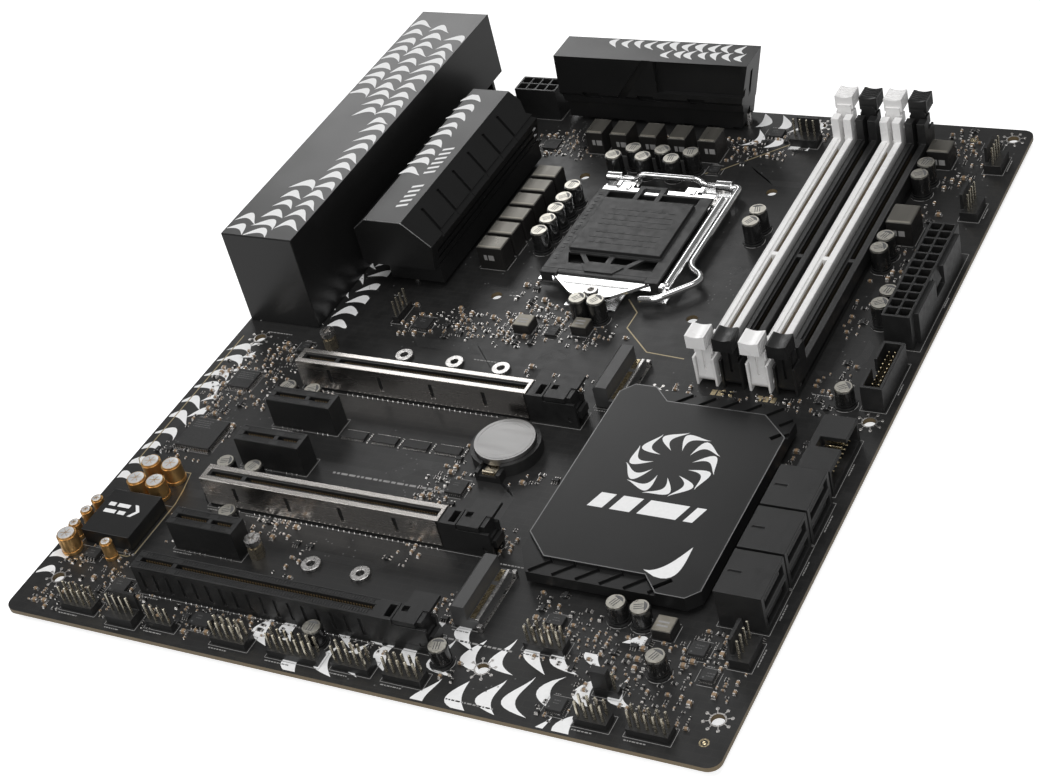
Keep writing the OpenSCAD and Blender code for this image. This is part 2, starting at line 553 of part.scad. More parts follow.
// ---------- chokes and capacitors ----------
module chokes() color([0.28, 0.28, 0.27]) place() {
    for (i = [0:5]) blk(73.6, 83.8, 194.2 + 9.1 * i, 201.7 + 9.1 * i, PT, PT + choke_h);
    for (x = [82, 92.2, 104.4, 116.2, 128.4]) blk(x, x + 7, 270, 279.6, PT, PT + choke_h);
    blk(213.5, 222.5, 231, 242, PT, PT + choke_h);
    blk(213, 221, 277, 285, PT, PT + 7);
    blk(103.2, 109.6, 161.3, 167.7, PT, PT + 3.4);
    blk(124.2, 130.2, 164, 169.6, PT, PT + 3.4);
    blk(208, 214.2, 39.8, 46.2, PT, PT + 3.4);
}

caps = [[92.4, 208], [92.4, 215.3], [92.4, 222.1], [92.4, 229], [92.4, 236.8],
        [99.5, 257.6], [105.4, 263.2], [111.3, 258.2], [117.2, 263.2], [122.8, 258.2], [128.6, 263.2],
        [167, 232], [167, 225], [216, 268], [216, 260.7], [216, 224], [216, 217.2],
        [226.6, 195.2], [226, 188.2], [124, 173.2], [130.8, 173.2]];
low_caps = [[227.7, 147.6], [42.6, 111.6], [52.4, 111.6], [42, 72.2], [53, 72.2], [56.2, 51.2],
            [111.4, 12.8], [152.6, 15.8], [196, 44.4], [203.6, 44.2], [215.4, 28]];
module cap_sleeves() color([0.05, 0.05, 0.055]) place() {
    for (p = caps) difference() {
        post(p[0], p[1], PT, PT + cap_h - 0.6, 6.4);
        post(p[0], p[1], PT + cap_h - 1.4, PT + cap_h, 5.8);
    }
    for (p = low_caps) difference() {
        post(p[0], p[1], PT, PT + 6.6, 6.2);
        post(p[0], p[1], PT + 5.8, PT + 8, 5.6);
    }
}
module cap_tops() color([0.7, 0.69, 0.66]) place() {
    for (p = caps) post(p[0], p[1], PT + cap_h - 1.4, PT + cap_h, 5.8);
    for (p = low_caps) post(p[0], p[1], PT + 5.8, PT + 7.2, 5.6);
}

gold = [[15.2, 66.4, 7, 7.2], [23.2, 66.8, 7, 7.2], [15.2, 57.8, 7, 7.2], [22.6, 58.2, 7, 7.2],
        [6, 47, 4.4, 6], [5.6, 41.4, 4.4, 6], [5.4, 35, 4.4, 6], [23, 29, 4.4, 7], [7, 29, 7, 7.2]];
module gold_caps() color([0.83, 0.62, 0.33]) place() for (g = gold) {
    post(g[0], g[1], PT, PT + g[3] - 0.5, g[2] - 0.3);
    post(g[0], g[1], PT + g[3] - 0.5, PT + g[3], g[2] - 0.9);
    post(g[0], g[1], PT, PT + 1.2, g[2]);
}

module audio_cover() color([0.05, 0.05, 0.055]) place() difference() {
    blk(9.4, 28.6, 33.2, 53, PT, PT + 5.6);
    blk(10.2, 27.8, 34, 52.2, PT - 1, PT + 4.8);
}
module audio_chip() color([0.08, 0.08, 0.08]) place() blk(15, 22, 39.5, 46.5, PT, PT + 1);

// ---------- cable connectors ----------
module sata_blocks() color([0.09, 0.09, 0.095]) place() for (i = [0:2]) {
    y0 = 49.4 + 18.3 * i;
    difference() {
        blk(224.7, 239.2, y0, y0 + 17.4, PT, PT + sata_h);
        for (z = [1.6, 8.0]) difference() {
            blk(231, 240, y0 + 1.6, y0 + 15.8, PT + z, PT + z + 4.2);
            blk(231, 238.6, y0 + 3, y0 + 14.2, PT + z + 1.5, PT + z + 2.7);
        }
        blk(226, 230, y0 + 8.3, y0 + 9.1, PT + sata_h - 0.4, PT + sata_h + 1);
    }
}

module usb3_headers() color([0.08, 0.08, 0.085]) place() {
    difference() {
        blk(227.6, 238, 107, 131.6, PT, PT + 9.6);
        blk(231, 239, 108.2, 130.4, PT + 1.6, PT + 8);
        blk(230, 239, 117, 121.6, PT + 6, PT + 10);
    }
    difference() {
        blk(233.4, 240.6, 146.4, 169.6, PT, PT + 9);
        blk(234.4, 239.6, 147.4, 168.6, PT + 2, PT + 10);
        blk(233, 236, 155.6, 160.4, PT + 4, PT + 10);
    }
}

module power_box(x0, y0, nx, ny) difference() {
    w = 4.2;
    blk(x0, x0 + nx * w + 1, y0, y0 + ny * w + 1, PT, PT + power_h);
    for (i = [0:nx - 1], j = [0:ny - 1])
        blk(x0 + 0.9 + w * i, x0 + 4.3 + w * i, y0 + 0.9 + w * j, y0 + 4.3 + w * j, PT + 3, PT + 20);
}
module atx24_connector() color([0.06, 0.06, 0.065]) place() {
    power_box(230.4, 177.4, 2, 12);
    difference() {
        blk(239.8, 241.4, 181, 224.6, PT, PT + power_h - 1);
        blk(239, 243, 198.6, 206.8, PT + 5, PT + power_h);
    }
    alongy(200, 205.4) polygon([[239.8, PT + 8], [241, PT + 8], [239.8, PT + 11.6]]);
}
module eps8_connector() color([0.05, 0.05, 0.055]) place() {
    power_box(42.3, 290.6, 4, 2);
    blk(47.6, 54.6, 300, 301.4, PT, PT + power_h - 2);
}

// ---------- headers ----------
// centre x, centre y, columns, rows
heads = [[26.5, 7.4, 5, 2], [58.4, 6.4, 4, 1], [84.6, 6.9, 5, 2], [107.6, 6.9, 7, 2], [127.4, 7.6, 5, 2],
         [144.8, 7.6, 5, 2], [205, 7, 4, 2], [221.8, 7.4, 5, 2], [180, 29.2, 5, 2], [57.5, 163.6, 1, 4]];
// centre x, centre y, turned
fans = [[44.6, 6.2, 0], [236.6, 40, 90], [236.4, 253, 90], [236.4, 281.6, 90], [163.6, 287, 0]];
p254 = 2.54;
jump = [204.6, 17.4];

module pin_bases() color([0.06, 0.06, 0.06]) place() {
    for (h = heads) translate([h[0], h[1], PT])
        blk(-h[2] * p254 / 2, h[2] * p254 / 2, -h[3] * p254 / 2, h[3] * p254 / 2, 0, 2.5);
    translate([jump[0], jump[1], PT]) blk(-p254 * 1.5, p254 * 1.5, -p254 / 2, p254 / 2, 0, 2.5);
}
module fan_headers() color([0.07, 0.07, 0.07]) place() for (f = fans)
    translate([f[0], f[1], PT]) rotate([0, 0, f[2]]) {
        blk(-5.1, 5.1, -3, 3, 0, 3.2);
        blk(-3.2, 5.1, 2, 3, 3.2 - e, 9.4);
    }
module pins() color([0.83, 0.76, 0.6]) place() {
    for (h = heads) for (i = [0:h[2] - 1], j = [0:h[3] - 1])
        translate([h[0] + p254 * (i - (h[2] - 1) / 2), h[1] + p254 * (j - (h[3] - 1) / 2), PT])
            blk(-0.32, 0.32, -0.32, 0.32, 2.5, pin_h);
    for (f = fans) translate([f[0], f[1], PT]) rotate([0, 0, f[2]]) for (i = [0:3])
        translate([p254 * (i - 1.5), 0, 0]) blk(-0.32, 0.32, -0.32, 0.32, 3.2, pin_h + 1.5);
    for (i = [-1:1]) translate([jump[0] + p254 * i, jump[1], PT]) blk(-0.32, 0.32, -0.32, 0.32, 2.5, pin_h);
}
module jumper_cap() color([0.07, 0.07, 0.07]) place()
    translate([jump[0] - p254 / 2, jump[1], PT]) difference() {
    blk(-2.5, 2.5, -1.25, 1.25, 2.6, 9.2);
    for (x = [-p254 / 2, p254 / 2]) blk(x - 0.4, x + 0.4, -0.4, 0.4, 2, 8.6);
}

// ---------- integrated circuits ----------
ic = [[19.6, 88.6, 14, 14, 1.4], [65, 272.6, 6, 6, 0.9], [68.2, 159.6, 6, 6, 0.9], [117, 164, 4, 5, 0.9],
      [135, 130, 5, 4, 1.2], [178.6, 38.6, 5, 4, 1.4], [192.6, 9.2, 5, 5, 1.4], [223, 38.6, 5, 5, 1.2],
      [229.4, 30, 4, 4, 1.2], [16, 28.4, 5, 4, 1.4], [34.4, 17.6, 6, 6, 1.2], [136, 265, 4, 4, 0.9],
      [150.4, 291, 6, 5, 1.0], [18, 118, 9, 9, 1.2],
      [31, 138.6, 4, 5, 1.2], [232, 292.6, 5, 4, 1.4], [121.4, 84.2, 6, 6, 1.0], [71, 11, 7, 5, 2]];
module chips() color([0.06, 0.06, 0.065]) place() for (c = ic)
    blk(c[0] - c[2] / 2, c[0] + c[2] / 2, c[1] - c[3] / 2, c[1] + c[3] / 2, PT, PT + c[4]);

pcb();
io_shroud();
rear_port_shells();
rear_port_sockets();
audio_jacks();
west_heatsink();
north_heatsink();
vrm_mosfets();
vrm_pads();
heatsink_screws();
chipset_heatsink();
chipset_package();
chipset_pad();
socket_body();
ilm_frame();
ilm_screws();
shoulder_screw();
cpu_backplate();
load_plate();
load_lever();
socket_cover();
dimm_white();
dimm_black();
latch_1s();
latch_1n();
latch_2s();
latch_2n();
latch_3s();
latch_3n();
latch_4s();
latch_4n();
pcie_long();
pcie_sleeves();
pcie_short();
card_clip_1();
card_clip_2();
card_clip_3();
m2_connectors();
m2_nuts();
m2_standoffs();
m2_screw_upper();
m2_screw_lower();
battery_holder();
battery_contact();
coin_cell();
chokes();
cap_sleeves();
cap_tops();
gold_caps();
audio_cover();
audio_chip();
sata_blocks();
usb3_headers();
atx24_connector();
eps8_connector();
fan_headers();
pin_bases();
pins();
jumper_cap();
chips();
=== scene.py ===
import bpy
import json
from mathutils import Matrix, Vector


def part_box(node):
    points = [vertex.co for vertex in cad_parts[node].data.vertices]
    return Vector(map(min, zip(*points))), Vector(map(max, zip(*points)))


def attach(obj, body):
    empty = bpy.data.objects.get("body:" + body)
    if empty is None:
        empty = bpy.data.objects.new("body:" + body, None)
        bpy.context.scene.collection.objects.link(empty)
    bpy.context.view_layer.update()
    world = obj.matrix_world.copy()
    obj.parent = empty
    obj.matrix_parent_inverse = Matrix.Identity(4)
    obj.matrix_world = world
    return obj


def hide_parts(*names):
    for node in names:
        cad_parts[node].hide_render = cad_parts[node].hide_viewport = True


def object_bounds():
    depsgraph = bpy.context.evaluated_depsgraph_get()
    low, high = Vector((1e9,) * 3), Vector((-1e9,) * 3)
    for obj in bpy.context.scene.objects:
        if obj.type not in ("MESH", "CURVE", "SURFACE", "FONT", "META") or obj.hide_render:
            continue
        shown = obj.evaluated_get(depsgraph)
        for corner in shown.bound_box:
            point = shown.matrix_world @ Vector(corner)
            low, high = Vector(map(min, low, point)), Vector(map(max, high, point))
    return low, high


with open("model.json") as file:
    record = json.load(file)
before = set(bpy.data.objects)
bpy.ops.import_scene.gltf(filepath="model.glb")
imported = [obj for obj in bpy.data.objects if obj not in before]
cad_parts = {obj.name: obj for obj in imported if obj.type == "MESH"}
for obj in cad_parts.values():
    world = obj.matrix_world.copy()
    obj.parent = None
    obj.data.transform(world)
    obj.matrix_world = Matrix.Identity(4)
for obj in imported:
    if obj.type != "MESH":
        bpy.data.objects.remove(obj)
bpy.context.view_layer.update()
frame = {"nodes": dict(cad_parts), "record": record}

import json
import math
import random

import bmesh
import bpy
from mathutils import Matrix, Vector

# Layout values are board millimetres: x from the rear connector edge, y from the bottom edge,
# z up from the board's top face.
MM = 0.001
ORIGIN = Vector((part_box("pcb")[0].x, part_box("pcb")[0].y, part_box("pcb")[1].z))
BOARD_X = (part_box("pcb")[1].x - ORIGIN.x) / MM
BOARD_Y = (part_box("pcb")[1].y - ORIGIN.y) / MM
BOARD_T = (ORIGIN.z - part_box("pcb")[0].z) / MM
NODES = frame["nodes"]


def limits(node):
    """x0, x1, y0, y1, z0, z1 of a CAD node in board millimetres."""
    low, high = [(corner - ORIGIN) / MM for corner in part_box(node)]
    return low.x, high.x, low.y, high.y, low.z, high.z


def islands(node):
    """The limits of each separate solid of a CAD node, in board millimetres."""
    mesh = NODES[node].data
    owner = {}

    def root(key):
        while owner[key] != key:
            owner[key] = owner[owner[key]]
            key = owner[key]
        return key

    keys = [tuple(round(c / MM * 50) for c in v.co) for v in mesh.vertices]
    for key in keys:
        owner.setdefault(key, key)
    for poly in mesh.polygons:
        first = root(keys[poly.vertices[0]])
        for i in poly.vertices[1:]:
            owner[root(keys[i])] = first
    boxes = {}
    for v, key in zip(mesh.vertices, keys):
        point = (v.co - ORIGIN) / MM
        box = boxes.setdefault(root(key), [point.copy(), point.copy()])
        for k in range(3):
            box[0][k] = min(box[0][k], point[k])
            box[1][k] = max(box[1][k], point[k])
    found = [(a.x, b.x, a.y, b.y, a.z, b.z) for a, b in boxes.values()]
    return sorted(found, key=lambda b: (round(b[0], 2), round(b[2], 2), round(b[4], 2)))


# ---------- mesh building ----------

class Batch:
    """Vertices and faces of one piece, gathered in board millimetres."""

    def __init__(self):
        self.verts, self.faces, self.marks = [], [], []

    def add(self, points, faces, mark=0):
        n = len(self.verts)
        self.verts += [Vector(p) for p in points]
        self.faces += [[n + i for i in face] for face in faces]
        self.marks += [mark] * len(faces)

    def box(self, x0, x1, y0, y1, z0, z1, cut=0.0, mark=0):
        """A box, with its twelve edges cut back by cut."""
        if cut <= 0:
            points = [(x, y, z) for z in (z0, z1) for y in (y0, y1) for x in (x0, x1)]
            self.add(points, [(0, 2, 3, 1), (4, 5, 7, 6), (0, 1, 5, 4),
                              (2, 6, 7, 3), (0, 4, 6, 2), (1, 3, 7, 5)], mark)
            return
        outline = cut_rectangle(x0, x1, y0, y1, cut)
        inner = cut_rectangle(x0 + cut, x1 - cut, y0 + cut, y1 - cut, cut * 0.4)
        self.loft([(inner, z0), (outline, z0 + cut), (outline, z1 - cut), (inner, z1)], mark)

    def loft(self, rings, mark=0):
        """A closed solid through (outline, z) rings with the same number of points."""
        n = len(rings[0][0])
        points = [(p[0], p[1], z) for outline, z in rings for p in outline]
        faces = [tuple(reversed(range(n)))]
        for k in range(len(rings) - 1):
            for i in range(n):
                j = (i + 1) % n
                faces.append((k * n + i, k * n + j, (k + 1) * n + j, (k + 1) * n + i))
        faces.append(tuple(range((len(rings) - 1) * n, len(rings) * n)))
        self.add(points, faces, mark)

    def turned(self, x, y, profile, n=24, mark=0):
        """A solid of revolution about a vertical line; profile is (radius, z) from bottom to top."""
        rings = [([(x + r * math.cos(2 * math.pi * i / n), y + r * math.sin(2 * math.pi * i / n))
                   for i in range(n)], z) for r, z in profile]
        self.loft(rings, mark)

    def ring(self, x, y, r0, r1, z0, z1, n=24, mark=0):
        """A flat washer."""
        points, faces = [], []
        for i in range(n):
            a = 2 * math.pi * i / n
            for r, z in ((r0, z0), (r1, z0), (r1, z1), (r0, z1)):
                points.append((x + r * math.cos(a), y + r * math.sin(a), z))
        for i in range(n):
            j = (i + 1) % n
            for k in range(4):
                m = (k + 1) % 4
                faces.append((4 * i + k, 4 * j + k, 4 * j + m, 4 * i + m))
        self.add(points, faces, mark)

    def tube(self, path, radius, sides=10, mark=0):
        """A round wire along a path of points."""
        path = [Vector(p) for p in path]
        side = None
        points, faces = [], []
        for i, p in enumerate(path):
            ahead = (path[min(i + 1, len(path) - 1)] - path[max(i - 1, 0)]).normalized()
            if side is None:
                side = ahead.orthogonal().normalized()
            side = (side - ahead * side.dot(ahead)).normalized()
            up = ahead.cross(side)
            for k in range(sides):
                a = 2 * math.pi * k / sides
                points.append(p + (side * math.cos(a) + up * math.sin(a)) * radius)
        for i in range(len(path) - 1):
            for k in range(sides):
                m = (k + 1) % sides
                faces.append((i * sides + k, i * sides + m, (i + 1) * sides + m, (i + 1) * sides + k))
        faces.append(tuple(reversed(range(sides))))
        faces.append(tuple(range((len(path) - 1) * sides, len(path) * sides)))
        self.add(points, faces, mark)

    def ribbon(self, path, width, z0, z1, mark=0):
        """A flat track of even width along a path of (x, y) points."""
        left, right = [], []
        for i, p in enumerate(path):
            before = Vector(path[max(i - 1, 0)])
            after = Vector(path[min(i + 1, len(path) - 1)])
            along = (after - before).normalized()
            across = Vector((-along.y, along.x)) * width / 2
            left.append(Vector(p) + across)
            right.append(Vector(p) - across)
        for i in range(len(path) - 1):
            quad = [right[i], right[i + 1], left[i + 1], left[i]]
            self.loft([(quad, z0), (quad, z1)], mark)

    def turn(self, start, centre, angle):
        """Turns everything added since start about a vertical line, by angle in degrees."""
        spin = Matrix.Rotation(math.radians(angle), 3, "Z")
        c = Vector((centre[0], centre[1], 0))
        for i in range(start, len(self.verts)):
            self.verts[i] = spin @ (self.verts[i] - c) + c


def cut_rectangle(x0, x1, y0, y1, c):
    return [(x0 + c, y0), (x1 - c, y0), (x1, y0 + c), (x1, y1 - c),
            (x1 - c, y1), (x0 + c, y1), (x0, y1 - c), (x0, y0 + c)]


def filleted(corners, reach, steps=5):
    """A path through corners, each rounded over reach on both sides."""
    corners = [Vector(p) for p in corners]
    path = [corners[0]]
    for a, b, c in zip(corners, corners[1:], corners[2:]):
        d = min(reach, (b - a).length * 0.48, (c - b).length * 0.48)
        start, end = b + (a - b).normalized() * d, b + (c - b).normalized() * d
        for i in range(steps + 1):
            t = i / steps
            path.append(start * (1 - t) ** 2 + b * 2 * t * (1 - t) + end * t ** 2)
    path.append(corners[-1])
    return path


def make(name, batch, materials, body="board", sharp=35, place=None):
    """Turns a batch into a piece that rides on a body. place maps local millimetres to the board's."""
    mesh = bpy.data.meshes.new(name)
    points = [(place @ v if place else v) * MM + ORIGIN for v in batch.verts]
    mesh.from_pydata([tuple(p) for p in points], [], batch.faces)
    for m in materials if isinstance(materials, (list, tuple)) else [materials]:
        mesh.materials.append(m)
    mesh.polygons.foreach_set("material_index", batch.marks)
    mesh.validate()
    if sharp:
        mesh.shade_smooth()
        mesh.set_sharp_from_angle(angle=math.radians(sharp))
    piece = bpy.data.objects.new(name, mesh)
    bpy.context.scene.collection.objects.link(piece)
    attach(piece, body)
    return piece


# ---------- materials ----------

class Shading:
    """A Principled material with cloudy colour, uneven roughness and a fine surface."""

    def __init__(self, name, dark, light, rough, metal=0.0, grain=600.0, stretch=(1, 1, 1),
                 swing=0.08, bump=0.25, bump_grain=5000.0, coat=0.0, specular=0.5):
        self.material = bpy.data.materials.new(name)
        self.material.use_nodes = True
        self.nodes = self.material.node_tree.nodes
        self.links = self.material.node_tree.links
        self.shader = self.nodes["Principled BSDF"]
        self.shader.inputs["Metallic"].default_value = metal
        self.shader.inputs["Coat Weight"].default_value = coat
        self.shader.inputs["Coat Roughness"].default_value = 0.12
        self.shader.inputs["Specular IOR Level"].default_value = specular
        self.place = self.node("ShaderNodeTexCoord").outputs["Object"]
        mapping = self.node("ShaderNodeMapping", Vector=self.place)
        mapping.inputs["Scale"].default_value = stretch
        cloud = self.noise(mapping.outputs["Vector"], grain, 4)
        self.colour = self.mix(cloud, dark, light)
        uneven = self.node("ShaderNodeMapRange", Value=cloud)
        uneven.inputs["From Min"].default_value = 0.3
        uneven.inputs["From Max"].default_value = 0.7
        uneven.inputs["To Min"].default_value = rough - swing
        uneven.inputs["To Max"].default_value = rough + swing
        self.links.new(uneven.outputs["Result"], self.shader.inputs["Roughness"])
        grit = self.noise(mapping.outputs["Vector"], bump_grain, 2)
        relief = self.node("ShaderNodeBump", Height=grit)
        relief.inputs["Strength"].default_value = bump
        relief.inputs["Distance"].default_value = 0.00004
        self.links.new(relief.outputs["Normal"], self.shader.inputs["Normal"])
        self.paint(self.colour)

    def node(self, kind, **inputs):
        made = self.nodes.new(kind)
        for key, value in inputs.items():
            self.links.new(value, made.inputs[key])
        return made

    def noise(self, vector, scale, detail):
        made = self.node("ShaderNodeTexNoise", Vector=vector)
        made.inputs["Scale"].default_value = scale
        made.inputs["Detail"].default_value = detail
        return made.outputs["Fac"]

    def mix(self, factor, a, b):
        made = self.nodes.new("ShaderNodeMix")
        made.data_type = "RGBA"
        self.links.new(factor, made.inputs[0])
        for socket, value in ((made.inputs[6], a), (made.inputs[7], b)):
            if isinstance(value, tuple):
                socket.default_value = (*value, 1)
            else:
                self.links.new(value, socket)
        return made.outputs[2]

    def math(self, operation, a, b):
        made = self.nodes.new("ShaderNodeMath")
        made.operation = operation
        for socket, value in zip(made.inputs, (a, b)):
            if isinstance(value, (int, float)):
                socket.default_value = value
            else:
                self.links.new(value, socket)
        return made.outputs[0]

    def paint(self, colour):
        self.links.new(colour, self.shader.inputs["Base Color"])


def grey(value, tint=0.0):
    """A neutral colour, a little warm for a positive tint and cool for a negative one."""
    return (value * (1 + tint), value, value * (1 - tint))


def plain(name, dark, light, rough, **options):
    return Shading(name, dark, light, rough, **options).material


def board_material():
    """Matte black solder mask with faint buried tracks; the laminate shows on the edge."""
    look = Shading("board_mask", grey(0.010), grey(0.015), 0.40, grain=260, swing=0.05,
                   bump=0.35, bump_grain=2600, specular=0.42)
    tracks = look.node("ShaderNodeTexBrick", Vector=look.place)
    tracks.inputs["Scale"].default_value = 100
    tracks.inputs["Mortar Size"].default_value = 0.012
    tracks.inputs["Color1"].default_value = (0, 0, 0, 1)
    tracks.inputs["Color2"].default_value = (0.35, 0.35, 0.35, 1)
    tracks.inputs["Mortar"].default_value = (1, 1, 1, 1)
    faint = look.math("MULTIPLY", tracks.outputs["Color"], 0.22)
    copper = look.mix(faint, look.colour, grey(0.04, 0.06))
    normal = look.node("ShaderNodeNewGeometry").outputs["Normal"]
    upright = look.node("ShaderNodeSeparateXYZ", Vector=normal).outputs["Z"]
    flat = look.math("GREATER_THAN", look.math("ABSOLUTE", upright, 0), 0.5)
    height = look.node("ShaderNodeSeparateXYZ", Vector=look.place).outputs["Z"]
    plies = look.math("SINE", look.math("MULTIPLY", height, 2 * math.pi / 0.0004), 0)
    layered = look.mix(look.math("MULTIPLY_ADD", plies, 0.5), (0.12, 0.085, 0.045), (0.20, 0.155, 0.09))
    look.paint(look.mix(flat, layered, copper))
    return look.material


def two_face_material(name, side, top, rough, metal=0.0):
    """One colour on upright faces and another on faces that look up."""
    look = Shading(name, side, tuple(c * 1.35 for c in side), rough, metal=metal, grain=900)
    normal = look.node("ShaderNodeNewGeometry").outputs["Normal"]
    upright = look.node("ShaderNodeSeparateXYZ", Vector=normal).outputs["Z"]
    look.paint(look.mix(look.math("GREATER_THAN", upright, 0.6), look.colour, top))
    return look.material


MASK = board_material()
SHROUD = plain("shroud_satin", grey(0.009), grey(0.012), 0.30, grain=60, swing=0.02, bump=0.15)
ANODISED = plain("black_anodised", grey(0.008), grey(0.011), 0.31, grain=60, bump=0.22, swing=0.02,
                 specular=0.38)
MACHINED = plain("machined_edge", grey(0.16), grey(0.26), 0.34, metal=0.8, stretch=(1, 6, 1))
MOULDED = plain("moulded_black", grey(0.009), grey(0.014), 0.40, grain=500, bump=0.5, swing=0.08)
MOULDED_DARK = plain("socket_black", grey(0.006), grey(0.012), 0.5, grain=700, bump=0.5)
COVER_BLACK = plain("cover_black", grey(0.012), grey(0.018), 0.42, grain=420, bump=0.4)
M2_GREY = plain("m2_grey", grey(0.045), grey(0.062), 0.42, grain=500, bump=0.3)
WHITE = plain("white_gloss", grey(0.78, 0.012), grey(0.84, 0.006), 0.26, grain=140, swing=0.05,
              bump=0.06, coat=0.25)
CHROME = plain("polished_steel", grey(0.78), grey(0.84), 0.14, metal=1, grain=160, swing=0.02,
               bump=0.03, stretch=(1, 0.3, 1))
SLEEVE = plain("sleeve_steel", grey(0.62, 0.05), grey(0.69, 0.05), 0.26, metal=1, grain=500,
               stretch=(0.08, 1.4, 1.4), bump=0.08, swing=0.03)
STEEL = plain("plated_steel", grey(0.50, 0.03), grey(0.68, 0.02), 0.28, metal=1, grain=900)
BLACK_STEEL = plain("blackened_steel", grey(0.02), grey(0.045), 0.4, metal=0.6, grain=400)
TIN = plain("tinned", grey(0.55, 0.04), grey(0.82, 0.03), 0.30, metal=1, grain=2500, bump=0.5)
SOLDER = plain("solder", grey(0.5, 0.02), grey(0.72, 0.01), 0.24, metal=1, grain=1800, bump=0.4)
GOLD = plain("gold_flash", (0.62, 0.50, 0.30), (0.82, 0.70, 0.47), 0.26, metal=1, grain=1500)
PIN = plain("pin_plating", (0.66, 0.60, 0.47), (0.84, 0.79, 0.66), 0.24, metal=1, grain=1500)
COPPER_LINE = plain("exposed_line", (0.30, 0.25, 0.15), (0.42, 0.35, 0.22), 0.4, metal=0.5)
BRASS = plain("nickel_brass", (0.42, 0.36, 0.27), (0.62, 0.56, 0.44), 0.3, metal=1, grain=900)
EPOXY = plain("chip_epoxy", grey(0.012), grey(0.022), 0.52, grain=1400, bump=0.8, bump_grain=9000)
CERAMIC = plain("capacitor_ceramic", (0.20, 0.13, 0.075), (0.34, 0.24, 0.15), 0.4, grain=2200)
RESISTOR = plain("resistor_black", grey(0.008), grey(0.016), 0.35, grain=2000)
CHOKE = two_face_material("ferrite_block", grey(0.018, 0.05), (0.10, 0.096, 0.085), 0.36, 0.35)
CHOKE_TOP = plain("choke_plate", (0.12, 0.115, 0.10), (0.20, 0.19, 0.17), 0.34, metal=0.75,
                  grain=300, stretch=(1, 0.15, 1))
CAP_BLACK = plain("cap_sleeve", grey(0.006), grey(0.011), 0.22, grain=300, coat=0.3, bump=0.1)
CAP_TOP = plain("cap_aluminium", (0.44, 0.42, 0.37), (0.62, 0.60, 0.54), 0.34, metal=1, grain=900)
CAP_GOLD = plain("gold_lacquer", (0.66, 0.40, 0.16), (0.74, 0.46, 0.19), 0.30, metal=0.9, grain=700,
                 bump=0.1, swing=0.03)
CELL = plain("cell_steel", grey(0.34, 0.01), grey(0.43, 0.01), 0.38, metal=1, grain=350,
             stretch=(0.12, 1, 1), bump=0.2)
PRINT = plain("white_print", grey(0.72), grey(0.84), 0.5, grain=900, bump=0.3)
SILK = plain("silkscreen", grey(0.20, 0.02), grey(0.32, 0.02), 0.6, grain=2500, bump=0.4)
SILK_DIM = plain("silkscreen_dim", grey(0.07), grey(0.12), 0.6, grain=2500, bump=0.4)
GREEN = plain("package_laminate", (0.02, 0.10, 0.05), (0.03, 0.14, 0.07), 0.4)
PAD = plain("thermal_pad", (0.30, 0.36, 0.42), (0.40, 0.46, 0.52), 0.8, bump=0.8)
BLUE = plain("port_blue", (0.02, 0.07, 0.30), (0.03, 0.10, 0.38), 0.4)
JACKS = [plain("jack_" + name, colour, tuple(c * 1.25 for c in colour), 0.4)
         for name, colour in (("pink", (0.60, 0.16, 0.20)), ("green", (0.10, 0.42, 0.10)),
                              ("blue", (0.07, 0.25, 0.55)), ("orange", (0.65, 0.28, 0.05)),
                              ("grey", (0.25, 0.25, 0.25)), ("black", (0.03, 0.03, 0.03)))]
TRACK = plain("masked_track", grey(0.021), grey(0.028), 0.42, grain=260)
CONTACT = plain("contact_tan", (0.20, 0.14, 0.07), (0.32, 0.23, 0.12), 0.4, metal=0.6)
# Painted shade: a darker copy of the contact colour for the contacts down in the black memory slots.
CONTACT_PAINTED_SHADE = plain("contact_painted_shade", (0.05, 0.04, 0.028), (0.09, 0.07, 0.045), 0.4, metal=0.6)

